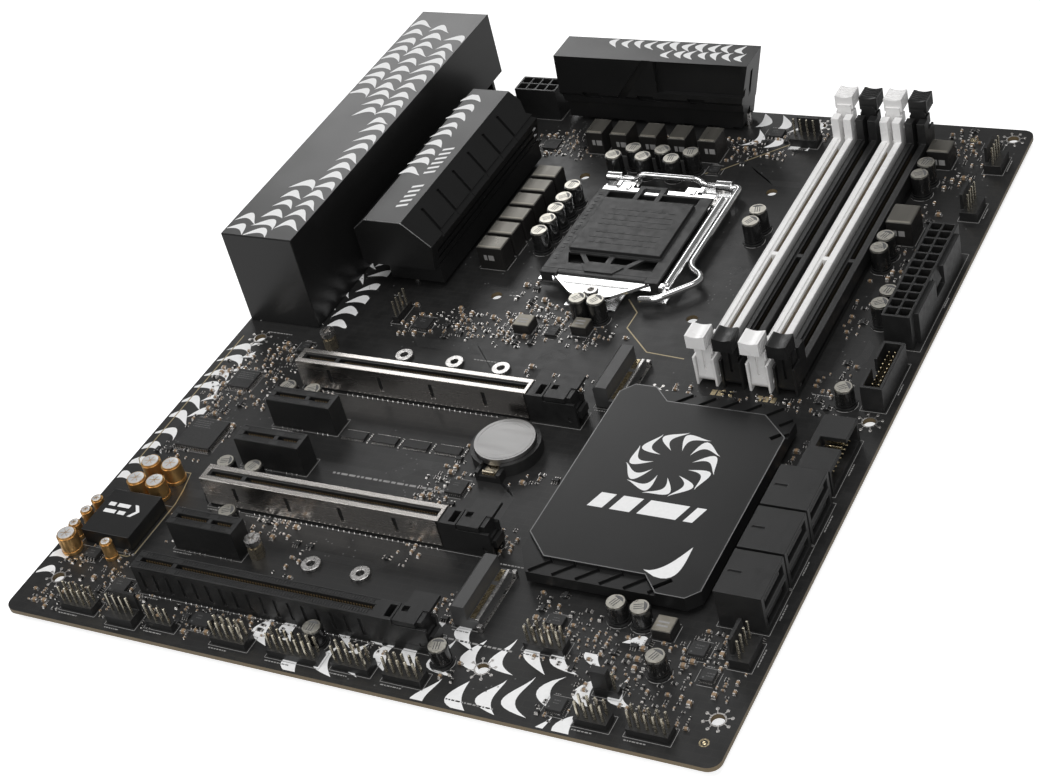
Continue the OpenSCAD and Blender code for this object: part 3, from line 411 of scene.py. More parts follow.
# CAD node: (its material, width of the bevel on its edges in millimetres)
CAD_LOOKS = {
    "pcb": (MASK, 0), "io_shroud": (SHROUD, 0.35), "rear_port_shells": (STEEL, 0.12),
    "rear_port_sockets": (BLUE, 0.1), "audio_jacks": (MOULDED, 0.15),
    "west_heatsink": (ANODISED, 0.2), "north_heatsink": (ANODISED, 0.2),
    "vrm_mosfets": (EPOXY, 0), "vrm_pads": (PAD, 0), "heatsink_screws": (STEEL, 0),
    "chipset_heatsink": (ANODISED, 0.22), "chipset_package": (GREEN, 0), "chipset_pad": (PAD, 0),
    "socket_body": (MOULDED_DARK, 0.1), "ilm_frame": (CHROME, 0.2), "ilm_screws": (STEEL, 0),
    "shoulder_screw": (STEEL, 0.1), "cpu_backplate": (BLACK_STEEL, 0.15),
    "load_plate": (CHROME, 0.2), "load_lever": (CHROME, 0), "socket_cover": (COVER_BLACK, 0.25),
    "dimm_white": (WHITE, 0.15), "dimm_black": (MOULDED, 0.15),
    "pcie_long": (MOULDED, 0.12), "pcie_sleeves": (SLEEVE, 0.12), "pcie_short": (MOULDED, 0.12),
    "card_clip_1": (MOULDED, 0.15), "card_clip_2": (MOULDED, 0.15), "card_clip_3": (MOULDED, 0.15),
    "m2_connectors": (M2_GREY, 0.15), "m2_nuts": (STEEL, 0.15), "m2_standoffs": (BRASS, 0.12),
    "m2_screw_upper": (STEEL, 0.2), "m2_screw_lower": (STEEL, 0.2),
    "battery_holder": (MOULDED, 0.2), "battery_contact": (BRASS, 0), "coin_cell": (CELL, 0.25),
    "chokes": (CHOKE, 0.25), "cap_sleeves": (CAP_BLACK, 0.3), "cap_tops": (CAP_TOP, 0.3),
    "gold_caps": (CAP_GOLD, 0.25), "audio_cover": (SHROUD, 0.3), "audio_chip": (EPOXY, 0.1),
    "sata_blocks": (MOULDED, 0.15), "usb3_headers": (MOULDED, 0.15),
    "atx24_connector": (MOULDED, 0.15), "eps8_connector": (MOULDED, 0.15),
    "fan_headers": (MOULDED, 0.15), "pin_bases": (MOULDED, 0.12), "pins": (PIN, 0.08),
    "jumper_cap": (MOULDED, 0.15), "chips": (EPOXY, 0.08),
}
for number in (1, 2, 3, 4):
    for end in "sn":
        CAD_LOOKS[f"latch_{number}{end}"] = (WHITE if number % 2 else MOULDED, 0.2)


def dress(node, material, bevel):
    """Gives a CAD node its material and softens its edges with modifiers."""
    piece = NODES[node]
    piece.data.materials.clear()
    piece.data.materials.append(material)
    weld = piece.modifiers.new("weld", "WELD")
    weld.merge_threshold = 0.000004
    if bevel:
        soft = piece.modifiers.new("bevel", "BEVEL")
        soft.width = bevel * MM
        soft.segments = 2
        soft.limit_method = "ANGLE"
        soft.angle_limit = math.radians(38)
        soft.use_clamp_overlap = True
        soft.harden_normals = False
        even = piece.modifiers.new("normals", "WEIGHTED_NORMAL")
        even.keep_sharp = True


for node_name, (node_material, bevel_width) in CAD_LOOKS.items():
    dress(node_name, node_material, bevel_width)


# ---------- printed pattern ----------

def crescent(batch, at, heading, span, sag, thick, lean=1.0, steps=12):
    """A flat crescent: its back faces the heading and its tips lie across it."""
    ahead = Vector((math.cos(math.radians(heading)), math.sin(math.radians(heading))))
    side = Vector((-ahead.y, ahead.x))
    outer, inner = [], []
    for i in range(steps + 1):
        t = i / steps
        swell = math.sin(math.pi * t ** lean)
        foot = Vector(at) + side * (t - 0.5) * span
        outer.append(foot + ahead * sag * swell)
        inner.append(foot + ahead * (sag - thick) * swell)
    n = steps + 1
    faces = [(0, n, 1)] + [(i, n + i - 1, n + i, i + 1) for i in range(1, steps - 1)]
    faces.append((steps - 1, n + steps - 2, steps))
    batch.add([(*p, 0) for p in outer + inner[1:-1]], faces)


def crescent_row(batch, dice, path, span, thick, pitch, hook=0.55):
    """Nested crescents that follow a path of points."""
    spine = filleted(path, 14, 6)
    reach = dice.uniform(0, 0.4) * pitch
    for a, b in zip(spine, spine[1:]):
        along = b - a
        while reach < along.length:
            heading = math.degrees(math.atan2(along.y, along.x)) + dice.uniform(-9, 9)
            width = span * dice.uniform(0.86, 1.1)
            crescent(batch, a + along.normalized() * reach, heading, width, width * hook,
                     thick * dice.uniform(0.85, 1.12), dice.choice((0.72, 1.0, 1.35)))
            reach += pitch * dice.uniform(0.94, 1.12)
        reach -= along.length


def printed(name, batch, window, material, place=None, thickness=0.03):
    """Clips flat artwork to the window (x0, x1, y0, y1) and gives it a little thickness."""
    mesh = bpy.data.meshes.new(name)
    mesh.from_pydata([tuple(v) for v in batch.verts], [], batch.faces)
    work = bmesh.new()
    work.from_mesh(mesh)
    x0, x1, y0, y1 = window
    for point, away in (((x0, 0, 0), (-1, 0, 0)), ((x1, 0, 0), (1, 0, 0)),
                        ((0, y0, 0), (0, -1, 0)), ((0, y1, 0), (0, 1, 0))):
        everything = work.verts[:] + work.edges[:] + work.faces[:]
        bmesh.ops.bisect_plane(work, geom=everything, plane_co=point, plane_no=away, clear_outer=True)
    raised = bmesh.ops.extrude_face_region(work, geom=work.faces[:])["geom"]
    bmesh.ops.translate(work, vec=(0, 0, thickness),
                        verts=[v for v in raised if isinstance(v, bmesh.types.BMVert)])
    for v in work.verts:
        point = place @ v.co if place else v.co.copy()
        v.co = point * MM + ORIGIN
    bmesh.ops.recalc_face_normals(work, faces=work.faces[:])
    work.to_mesh(mesh)
    work.free()
    mesh.materials.append(material)
    piece = bpy.data.objects.new(name, mesh)
    bpy.context.scene.collection.objects.link(piece)
    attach(piece, "board")


def shroud_artwork():
    x0, x1, y0, y1, _, top = limits("io_shroud")
    wide, long = x1 - x0, y1 - y0
    window = (x0 + 0.6, x1 - 0.5, y0 + 0.6, y1 - 6)
    columns = (((0.82, 0.03), (0.84, 0.30), (0.78, 0.62), (0.84, 0.86)),
               ((0.46, -0.01), (0.54, 0.22)), ((0.50, 0.50), (0.46, 0.74), (0.52, 0.93)),
               ((0.15, 0.01), (0.22, 0.08)), ((0.14, 0.58), (0.16, 0.78), (0.18, 0.95)))
    dice = random.Random(11)
    art = Batch()
    for column in columns:
        path = [(x0 + u * wide, y0 + v * long) for u, v in column]
        crescent_row(art, dice, path, wide * 0.33, 3.5, 5.9, 0.6)
    printed("shroud_artwork", art, window, PRINT, Matrix.Translation((0, 0, top)))


def heatsink_artwork():
    dice = random.Random(5)
    x0, _, y0, y1, _, top = limits("west_heatsink")
    art = Batch()
    crescent_row(art, dice, [(x0 + 8.4, y0 + 27), (x0 + 8.4, y1 - 8)], 8.6, 3.4, 6.0, 0.6)
    printed("west_heatsink_artwork", art, (x0 + 4.2, x0 + 12.6, y0 + 26, y1 - 4), PRINT,
            Matrix.Translation((0, 0, top)))
    x0, x1, y0, y1, _, top = limits("north_heatsink")
    art = Batch()
    crescent_row(art, dice, [(x1 - 4, y1 - 3.2), (x0 + 22, y1 - 3.2)], 6.6, 3.0, 5.0, 0.7)
    crescent_row(art, dice, [(x1 - 2, y1 - 8.8), (x0 + 44, y1 - 8.8)], 6.2, 2.8, 5.0, 0.7)
    printed("north_heatsink_artwork", art, (x0 + 14, x1 - 1.2, y1 - 11.8, y1 - 0.6), PRINT,
            Matrix.Translation((0, 0, top)))


def board_artwork():
    """Flowing rows of crescents on the parts of the board that carry the pattern."""
    regions = {
        "bottom": ((86, 214, 0.8, 30), 14.0, 4.6, 8.8,
                   ([(212, 20), (190, 12), (164, 5), (150, 1)], [(206, 2), (188, -2)],
                    [(200, 31), (176, 24), (150, 17), (124, 9), (104, 2)],
                    [(158, 29), (136, 24), (112, 18), (88, 12)])),
        "left": ((0.8, 13, 62, 138), 11.0, 3.8, 7.6, ([(4, 60), (5, 100), (6, 138)], [(13, 96), (14, 138)])),
        "corner": ((0.8, 8, 16, 32), 9.0, 3.4, 7.0, ([(4, 15), (4, 32)],)),
        "rear": ((18, 40, 152, 190), 12.0, 4.2, 7.8, ([(24, 150), (28, 190)], [(37, 150), (38, 190)])),
        "top": ((137, 166, 282, 304), 11.0, 3.8, 7.4, ([(138, 300), (166, 296)], [(140, 288), (166, 284)])),
        "sink_foot": ((200, 216, 34, 49), 9.0, 3.4, 7.0, ([(204, 34), (208, 49)],)),
    }
    dice = random.Random(40)
    for name, (window, span, thick, pitch, paths) in regions.items():
        art = Batch()
        for path in paths:
            crescent_row(art, dice, path, span, thick, pitch)
        printed("board_artwork_" + name, art, window, PRINT, thickness=0.02)


def chipset_artwork():
    """A turning ring of crescents over slanted bars, and one crescent in the near right corner."""
    x0, x1, y0, y1, _, top = limits("chipset_heatsink")
    art = Batch()
    centre = Vector((x0 + 0.51 * (x1 - x0), y0 + 0.61 * (y1 - y0)))
    for k in range(11):
        angle = math.radians(360 / 11 * k)
        out = Vector((math.cos(angle), math.sin(angle)))
        crescent(art, centre + out * 10.2, math.degrees(angle) + 66, 9.4, 6.2, 3.1, 1.3)
    crescent(art, (x1 - 14.5, y0 + 14), -42, 16, 7.5, 5.2, 0.66)
    bars = ((0, 5.0), (7.4, 14.0), (16.4, 29.0), (31.4, 34.4))
    foot, rise, slant = y0 + 29.5, 6.4, 2.2
    for a, b in bars:
        left = x0 + 12.4
        quad = [(left + a, foot, 0), (left + b, foot, 0),
                (left + b + slant, foot + rise, 0), (left + a + slant, foot + rise, 0)]
        art.add(quad, [(0, 1, 2, 3)])
    printed("chipset_artwork", art, (x0, x1, y0, y1), PRINT, Matrix.Translation((0, 0, top)))


def strokes(batch, x, y, count, height, along="x", z=0.0, seed=1, thick=0.02):
    """A short row of plain bars where a label would be."""
    dice = random.Random(seed)
    cursor = 0.0
    for _ in range(count):
        length = dice.choice((0.5, 0.8, 1.2)) * height
        if along == "x":
            batch.box(x + cursor, x + cursor + length, y, y + height * 0.42, z, z + thick)
        else:
            batch.box(x, x + height * 0.42, y + cursor, y + cursor + length, z, z + thick)
        cursor += length + height * 0.3


def heatsink_marks():
    x0, _, y0, _, _, top = limits("west_heatsink")
    marks = Batch()
    for start, count in ((9, 5), (30, 6)):
        for k in range(count):
            foot = y0 + start + 3 * k
            quad = [(x0 + 13.6, foot), (x0 + 17.6, foot + 1.6), (x0 + 17.6, foot + 2.8),
                    (x0 + 13.6, foot + 1.2)]
            marks.loft([(quad, top), (quad, top + 0.03)])
    make("west_heatsink_marks", marks, PRINT)
    x0, _, y0, _, _, top = limits("audio_cover")
    marks = Batch()
    for row, spans in enumerate((((2.6, 7.2), (8.2, 11.0)), ((2.6, 5.2), (6.2, 11.0)))):
        for a, b in spans:
            marks.box(x0 + a, x0 + b, y0 + 9 + 3.2 * row, y0 + 10.6 + 3.2 * row, top, top + 0.03)
    arrow = [(x0 + 12.4, y0 + 8.8), (x0 + 13.8, y0 + 8.8), (x0 + 15.8, y0 + 11.5), (x0 + 13.8, y0 + 14.2),
             (x0 + 12.4, y0 + 14.2), (x0 + 14.4, y0 + 11.5)]
    marks.loft([(arrow, top), (arrow, top + 0.03)])
    make("audio_cover_marks", marks, PRINT)


# ---------- board surface ----------

def mount_points():
    """Centres of the standoff holes, from the record's mounts."""
    points = []
    for mount in frame["record"]["mounts"]:
        centre = (Vector(mount["pos_m"]) - ORIGIN) / MM
        dims = mount["dims"]
        if mount["kind"] == "bore":
            points.append((centre.x, centre.y))
        elif mount["name"] != "cooler_pattern":
            dx, dy = dims.get("spacing_x_mm", 0) / 2, dims.get("spacing_y_mm", 0) / 2
            for sx in (-1, 1):
                for sy in (-1, 1) if dy else (0,):
                    points.append((centre.x + sx * dx, centre.y + sy * dy))
    return points


def hole_plating():
    rings = Batch()
    for x, y in mount_points():
        for z in (0.0, -BOARD_T - 0.03):
            rings.ring(x, y, 2.0, 2.5, z, z + 0.03, 32)
            for k in range(8):
                a = math.radians(45 * k + 22.5)
                spoke = [(x + 2.45 * math.cos(a), y + 2.45 * math.sin(a)),
                         (x + 3.6 * math.cos(a), y + 3.6 * math.sin(a))]
                rings.ribbon(spoke, 0.3, z, z + 0.025)
                rings.turned(x + 4.0 * math.cos(a), y + 4.0 * math.sin(a),
                             [(0.55, z), (0.5, z + 0.035)], 12)
    make("mounting_hole_pads", rings, TIN)


def exposed_lines():
    """The three light lines that separate areas of the board."""
    lines = Batch()
    paths = ([(133, 262.5), (138, 265.5), (158, 285)],
             [(136, 186), (142, 179.5), (142, 171), (154, 160), (168, 159)],
             [(3, 141), (3, 73), (5.4, 70.4), (11, 70.6), (26.4, 70.6), (28.6, 62.6), (29.8, 56), (29.8, 32),
              (28, 30.4), (12, 30.4)])
    for path in paths:
        lines.ribbon(path, 0.45, 0, 0.03)
    make("exposed_lines", lines, COPPER_LINE)
    marks = Batch()
    for x, y in ((237, 8), (224, 296.5), (12, 295)):
        marks.ring(x, y, 1.0, 1.5, 0, 0.02)
        marks.turned(x, y, [(0.6, 0), (0.55, 0.03)], 20)
    make("fiducial_marks", marks, GOLD)


def outline(batch, x0, x1, y0, y1, width=0.16, gap=0.0):
    """A thin printed rectangle; gap leaves its corners open."""
    for y in (y0, y1):
        batch.box(x0 + gap, x1 - gap, y - width / 2, y + width / 2, 0, 0.02)
    for x in (x0, x1):
        batch.box(x - width / 2, x + width / 2, y0 + gap, y1 - gap, 0, 0.02)


def silkscreen():
    """Outlines round the parts, polarity arcs and short bars where labels would be."""
    lines, labels = Batch(), Batch()
    seed = 0
    for node in ("atx24_connector", "eps8_connector", "sata_blocks", "usb3_headers", "fan_headers",
                 "pin_bases", "pcie_short", "pcie_long", "m2_connectors"):
        for x0, x1, y0, y1, _, _ in islands(node):
            outline(lines, x0 - 0.7, x1 + 0.7, y0 - 0.7, y1 + 0.7)
            seed += 1
            if x1 > BOARD_X - 14:
                strokes(labels, min(x1 + 1.2, BOARD_X - 1.4), (y0 + y1) / 2 - 3, 6, 0.9, "y", seed=seed)
            else:
                strokes(labels, x0, max(y0 - 1.9, 0.7), min(8, int((x1 - x0) / 1.6)), 0.9, seed=seed)
    for x0, x1, y0, y1, _, _ in islands("chips"):
        outline(lines, x0 - 1.3, x1 + 1.3, y0 - 1.3, y1 + 1.3, gap=0.9)
        seed += 1
        strokes(labels, x0, y1 + 1.7, 3, 0.7, seed=seed)
    for x0, x1, y0, y1, _, _ in islands("chokes"):
        outline(lines, x0 - 0.6, x1 + 0.6, y0 - 0.6, y1 + 0.6, gap=0.6)
    for x0, x1, y0, y1, _, _ in islands("cap_sleeves"):
        x, y, r = (x0 + x1) / 2, (y0 + y1) / 2, (x1 - x0) / 2 + 0.75
        arc = [(x + r * math.cos(math.radians(a)), y + r * math.sin(math.radians(a)))
               for a in range(-150, 61, 15)]
        lines.ribbon(arc, 0.22, 0, 0.02)
    x0, x1, y0, y1, _, _ = limits("audio_cover")
    outline(lines, x0 - 1.4, x1 + 1.4, y0 - 1.6, y1 + 1.6)
    rows = ((76, 81.6, 22, 2.0), (150.8, 56.4, 12, 1.1), (148, 24.4, 14, 1.5), (160, 3.2, 12, 1.2),
            (57.4, 56.6, 12, 1.1), (96, 144.8, 10, 1.1), (48.5, 173, 4, 1.2), (12, 144.6, 8, 1.0),
            (92, 180.4, 4, 1.2), (215.6, 150, 6, 1.0), (184, 139.8, 9, 1.1), (100, 285, 8, 1.1))
    for k, (x, y, count, height) in enumerate(rows):
        strokes(labels, x, y, count, height, seed=200 + k)
    strokes(labels, 173.2, 165, 12, 2.2, "y", seed=301)
    strokes(labels, 4.4, 150, 8, 1.0, "y", seed=302)
    make("silkscreen_outlines", lines, SILK, sharp=0)
    make("silkscreen_bars", labels, SILK, sharp=0)


def faint_tracks():
    """Groups of parallel copper tracks that show through the mask."""
    tracks = Batch()
    dice = random.Random(71)
    bundles = ([(150, 200), (160, 200), (168, 208), (176, 208)],
               [(150, 222), (158, 222), (166, 230), (176, 230)],
               [(132, 178), (132, 160), (120, 148), (120, 128), (138, 112)],
               [(60, 128), (100, 128), (108, 120), (140, 120), (150, 128)],
               [(70, 84), (96, 84), (104, 92), (116, 92)], [(176, 30), (190, 30), (198, 38), (214, 38)],
               [(6, 80), (6, 96), (10, 100), (10, 110)], [(150, 60), (140, 70), (140, 86), (124, 96)],
               [(214, 160), (220, 160), (226, 170), (226, 178)], [(30, 62), (38, 62), (44, 56), (60, 56)],
               [(70, 150), (96, 150), (104, 142), (140, 142)], [(136, 56), (122, 56), (112, 46), (84, 46)],
               [(80, 262), (96, 266), (96, 284)], [(150, 268), (160, 260), (172, 260)])
    for path in bundles:
        count = dice.randint(7, 12)
        for k in range(count):
            shift = (k - count / 2) * 0.62
            moved = [(x + shift * 0.7, y - shift * 0.7) for x, y in path]
            tracks.ribbon(moved, 0.24, 0, 0.012)
    make("masked_tracks", tracks, TRACK, sharp=0)


def vias():
    dots = Batch()
    dice = random.Random(5)
    zones = [(dice.uniform(6, BOARD_X - 8), dice.uniform(5, BOARD_Y - 6), dice.uniform(2, 9))
             for _ in range(90)]
    for x, y, spread in zones:
        for _ in range(dice.randint(4, 10)):
            px, py = x + dice.gauss(0, spread), y + dice.gauss(0, spread)
            if (2 < px < BOARD_X - 2 and 2 < py < BOARD_Y - 2
                    and SPACE.free(px - 0.3, px + 0.3, py - 0.3, py + 0.3)):
                dots.turned(px, py, [(0.27, 0), (0.24, 0.02)], 8)
    make("via_dots", dots, SILK_DIM)


# ---------- small surface parts ----------

class Space:
    """Which half-millimetre cells of the board's top are taken."""

    CELL = 0.5

    def __init__(self):
        self.taken = set()
        for node, piece in NODES.items():
            if node == "pcb":
                continue
            mesh = piece.data
            for poly in mesh.polygons:
                points = [(mesh.vertices[i].co - ORIGIN) / MM for i in poly.vertices]
                low = min(p.z for p in points)
                if -0.2 < low < 3.0:
                    self.claim(min(p.x for p in points), max(p.x for p in points),
                               min(p.y for p in points), max(p.y for p in points))
        for x, y in mount_points():
            self.claim(x - 4.6, x + 4.6, y - 4.6, y + 4.6)
        for mount in frame["record"]["mounts"]:
            if mount["name"] == "cooler_pattern":
                c = (Vector(mount["pos_m"]) - ORIGIN) / MM
                d = mount["dims"]["spacing_x_mm"] / 2
                for sx in (-d, d):
                    for sy in (-d, d):
                        self.claim(c.x + sx - 3, c.x + sx + 3, c.y + sy - 3, c.y + sy + 3)

    def cells(self, x0, x1, y0, y1):
        for i in range(math.floor(x0 / self.CELL), math.ceil(x1 / self.CELL)):
            for j in range(math.floor(y0 / self.CELL), math.ceil(y1 / self.CELL)):
                yield i, j

    def free(self, x0, x1, y0, y1):
        return all(cell not in self.taken for cell in self.cells(x0, x1, y0, y1))

    def claim(self, x0, x1, y0, y1):
        self.taken.update(self.cells(x0, x1, y0, y1))


SPACE = Space()


def two_ended(batch, x, y, length, width, height, turn, body):
    """A chip resistor or capacitor: two plated ends, a body and its two solder pads."""
    start = len(batch.verts)
    end = length * 0.24
    lx, wy = length / 2, width / 2
    batch.box(x - lx + end, x + lx - end, y - wy, y + wy, 0.02, height * 0.96, mark=body)
    for side in (-1, 1):
        outer, inner = x + side * lx, x + side * (lx - end)
        batch.box(min(outer, inner), max(outer, inner), y - wy - 0.01, y + wy + 0.01, 0.02, height,
                  cut=height * 0.14, mark=0)
        toe = x + side * (lx + length * 0.16)
        batch.box(min(toe, inner), max(toe, inner), y - wy * 1.12, y + wy * 1.12, 0, 0.06, mark=1)
    if turn:
        batch.turn(start, (x, y), turn)


def leaded(batch, x, y, length, width, height, pins, turn, pitch=None):
    """A small moulded package with gull-wing leads along two sides."""
    start = len(batch.verts)
    lx, wy = length / 2, width / 2
    batch.box(x - lx, x + lx, y - wy, y + wy, 0.1, height, cut=0.09, mark=2)
    pitch = pitch or length / pins
    for k in range(pins):
        px = x + (k - (pins - 1) / 2) * pitch
        half = pitch * 0.18
        for side in (-1, 1):
            gull(batch, px, y + side * wy, half, side, height)
    batch.turned(x - lx * 0.7, y - wy * 0.6, [(0.16, height), (0.14, height + 0.01)], 10, mark=3)
    if turn:
        batch.turn(start, (x, y), turn)


def gull(batch, x, y, half, side, height):
    """One bent lead that leaves a package wall at (x, y) towards side in y."""
    mid = height * 0.5
    profile = [(-0.05, mid), (0.35, mid), (0.6, 0.12), (1.0, 0.12), (1.0, 0.02), (0.5, 0.02),
               (0.28, mid - 0.12), (-0.05, mid - 0.12)]
    points = [(x + s * half, y + side * d, z) for s in (-1, 1) for d, z in profile]
    n = len(profile)
    faces = [tuple(range(n)), tuple(reversed(range(n, 2 * n)))]
    faces += [(i, n + i, n + (i + 1) % n, (i + 1) % n) for i in range(n)]
    if side > 0:
        faces = [tuple(reversed(f)) for f in faces]
    batch.add(points, faces, 0)


SMALL_MATERIALS = [TIN, SOLDER, EPOXY, SILK, CERAMIC, RESISTOR]
TAN, BLACK = 4, 5
# kind: (length, width, height)
SIZES = {"r0402": (1.0, 0.5, 0.35), "c0402": (1.0, 0.5, 0.5), "r0603": (1.6, 0.8, 0.45),
         "c0603": (1.6, 0.8, 0.8), "c0805": (2.0, 1.25, 1.1), "c1206": (3.0, 1.6, 1.3)}
MIX = ("c0402", "r0402", "c0402", "r0402", "c0603", "r0603", "c0603", "c0805", "sot", "array")


def small_row(batch, dice, x, y, zone):
    """A run of like parts side by side, as far as there is room; says how many were placed."""
    kind = dice.choice(MIX)
    turn = dice.choice((0, 90))
    if kind == "sot":
        length, width, height = 1.6, 1.3, 0.9
    elif kind == "array":
        length, width, height = 2.0, 1.1, 0.6
    else:
        length, width, height = SIZES[kind]
    reach_x, reach_y = (length, width) if turn == 0 else (width, length)
    if kind == "sot":
        reach_x, reach_y = (length, width + 2.0) if turn == 0 else (width + 2.0, length)
    step = (0, reach_y + 0.42) if turn == 0 else (reach_x + 0.42, 0)
    placed = 0
    for _ in range(dice.choice((1, 1, 2, 2, 3, 4, 5)) if kind not in ("sot", "array") else 1):
        hx, hy = reach_x / 2 + 0.3, reach_y / 2 + 0.12
        inside = zone[0] < x - hx and x + hx < zone[1] and zone[2] < y - hy and y + hy < zone[3]
        if not inside or not SPACE.free(x - hx, x + hx, y - hy, y + hy):
            break
        SPACE.claim(x - hx, x + hx, y - hy, y + hy)
        if kind == "sot":
            leaded(batch, x, y, length + 0.8, width, height, dice.choice((2, 3)), turn)
        elif kind == "array":
            two_ended(batch, x, y, length, width, height, turn, BLACK)
        else:
            two_ended(batch, x, y, length, width, height, turn, TAN if kind[0] == "c" else BLACK)
        placed += 1
        x, y = x + step[0], y + step[1]
    return placed


FILL = 0.6                                # share of each zone's parts that are placed


def small_parts():
    """Seeded clusters of surface parts, denser where the board is busy."""
    zones = {
        "power_corner": ((46, 86, 264, 286, 150), (98, 150, 268, 287, 90), (132, 164, 262, 282, 44)),
        "socket_front": ((58, 122, 152, 172, 170), (100, 146, 154, 184, 90), (94, 104, 172, 190, 14)),
        "rear_edge": ((4, 36, 98, 150, 210), (4, 34, 74, 98, 60), (28, 60, 112, 126, 26)),
        "audio_corner": ((4, 40, 3, 33, 150), (30, 46, 34, 62, 30), (42, 78, 3, 20, 90)),
        "middle": ((60, 80, 44, 58, 44), (78, 92, 34, 52, 16), (108, 128, 74, 98, 70),
                   (114, 124, 92, 112, 20),
                   (136, 154, 60, 98, 34), (112, 126, 46, 58, 14), (110, 150, 118, 150, 46)),
        "front_strip": ((60, 110, 9, 20, 50), (112, 160, 9, 20, 24), (186, 214, 3, 26, 60),
                        (172, 190, 22, 28, 14)),
        "chipset_front": ((168, 200, 32, 50, 80), (186, 216, 20, 40, 110), (214, 240, 22, 48, 110),
                          (208, 232, 10, 22, 60), (134, 150, 28, 46, 40)),
        "far_edge": ((214, 240, 134, 178, 60), (213, 228, 178, 232, 60), (213, 242, 236, 303, 120),
                     (213, 232, 100, 134, 20)),
        "memory_foot": ((158, 216, 139, 147, 60), (150, 180, 286, 303, 46)),
    }
    for number, (name, boxes) in enumerate(zones.items()):
        dice = random.Random(900 + number)
        batch = Batch()
        for x0, x1, y0, y1, wanted in boxes:
            wanted = int(wanted * FILL)
            hearts = [(dice.uniform(x0 + 2, x1 - 2), dice.uniform(y0 + 2, y1 - 2))
                      for _ in range(max(2, wanted // 8))]
            placed = tries = 0
            while placed < wanted and tries < wanted * 8:
                tries += 1
                heart = dice.choice(hearts)
                x = round(dice.gauss(heart[0], 3.4) / 0.5) * 0.5
                y = round(dice.gauss(heart[1], 2.8) / 0.5) * 0.5
                placed += small_row(batch, dice, x, y, (x0, x1, y0, y1))
        make("small_parts_" + name, batch, SMALL_MATERIALS)


def chip_leads():
    """Leads, pads, a pin-one dot and marking bars for the moulded chips."""
    leads = Batch()
    for number, (x0, x1, y0, y1, _, z1) in enumerate(islands("chips")):
        x, y, lx, wy = (x0 + x1) / 2, (y0 + y1) / 2, x1 - x0, y1 - y0
        if lx >= 9:
            count = int(lx / 0.68)
            for turn in (0, 90):
                start = len(leads.verts)
                for k in range(count):
                    px = x + (k - (count - 1) / 2) * (lx - 1) / (count - 1)
                    for side in (-1, 1):
                        gull(leads, px, y + side * wy / 2, 0.13, side, z1)
                leads.turn(start, (x, y), turn)
        elif abs(lx - wy) >= 1:
            turn = 0 if lx > wy else 90
            start = len(leads.verts)
            long, short = max(lx, wy), min(lx, wy)
            for k in range(4):
                px = x + (k - 1.5) * 1.27 * long / 5.4
                for side in (-1, 1):
                    gull(leads, px, y + side * short / 2, 0.22, side, z1)
            leads.turn(start, (x, y), turn)
        else:
            for k in range(8):
                t = (k - 3.5) / 8 * lx * 0.95
                for side in (-1, 1):
                    leads.box(x + t - 0.14, x + t + 0.14,
                              *sorted((y + side * wy / 2, y + side * (wy / 2 + 0.35))), 0, 0.14)
                    leads.box(*sorted((x + side * lx / 2, x + side * (lx / 2 + 0.35))),
                              y + t - 0.14, y + t + 0.14, 0, 0.14)
        leads.turned(x0 + 0.9, y0 + 0.9, [(0.3, z1), (0.27, z1 + 0.015)], 14, mark=3)
        for row in range(2 if lx < 9 else 4):
            strokes_at = Batch()
            strokes(strokes_at, x0 + 1.5, y1 - 1.6 - 1.0 * row, 3 if lx < 9 else 7, 0.62 if lx < 9 else 0.9,
                    z=z1, seed=number * 7 + row, thick=0.01)
            leads.add(strokes_at.verts, strokes_at.faces, 4)
    make("chip_leads", leads, [TIN, SOLDER, EPOXY, SILK_DIM, SILK_DIM])


# ---------- capacitors and chokes ----------

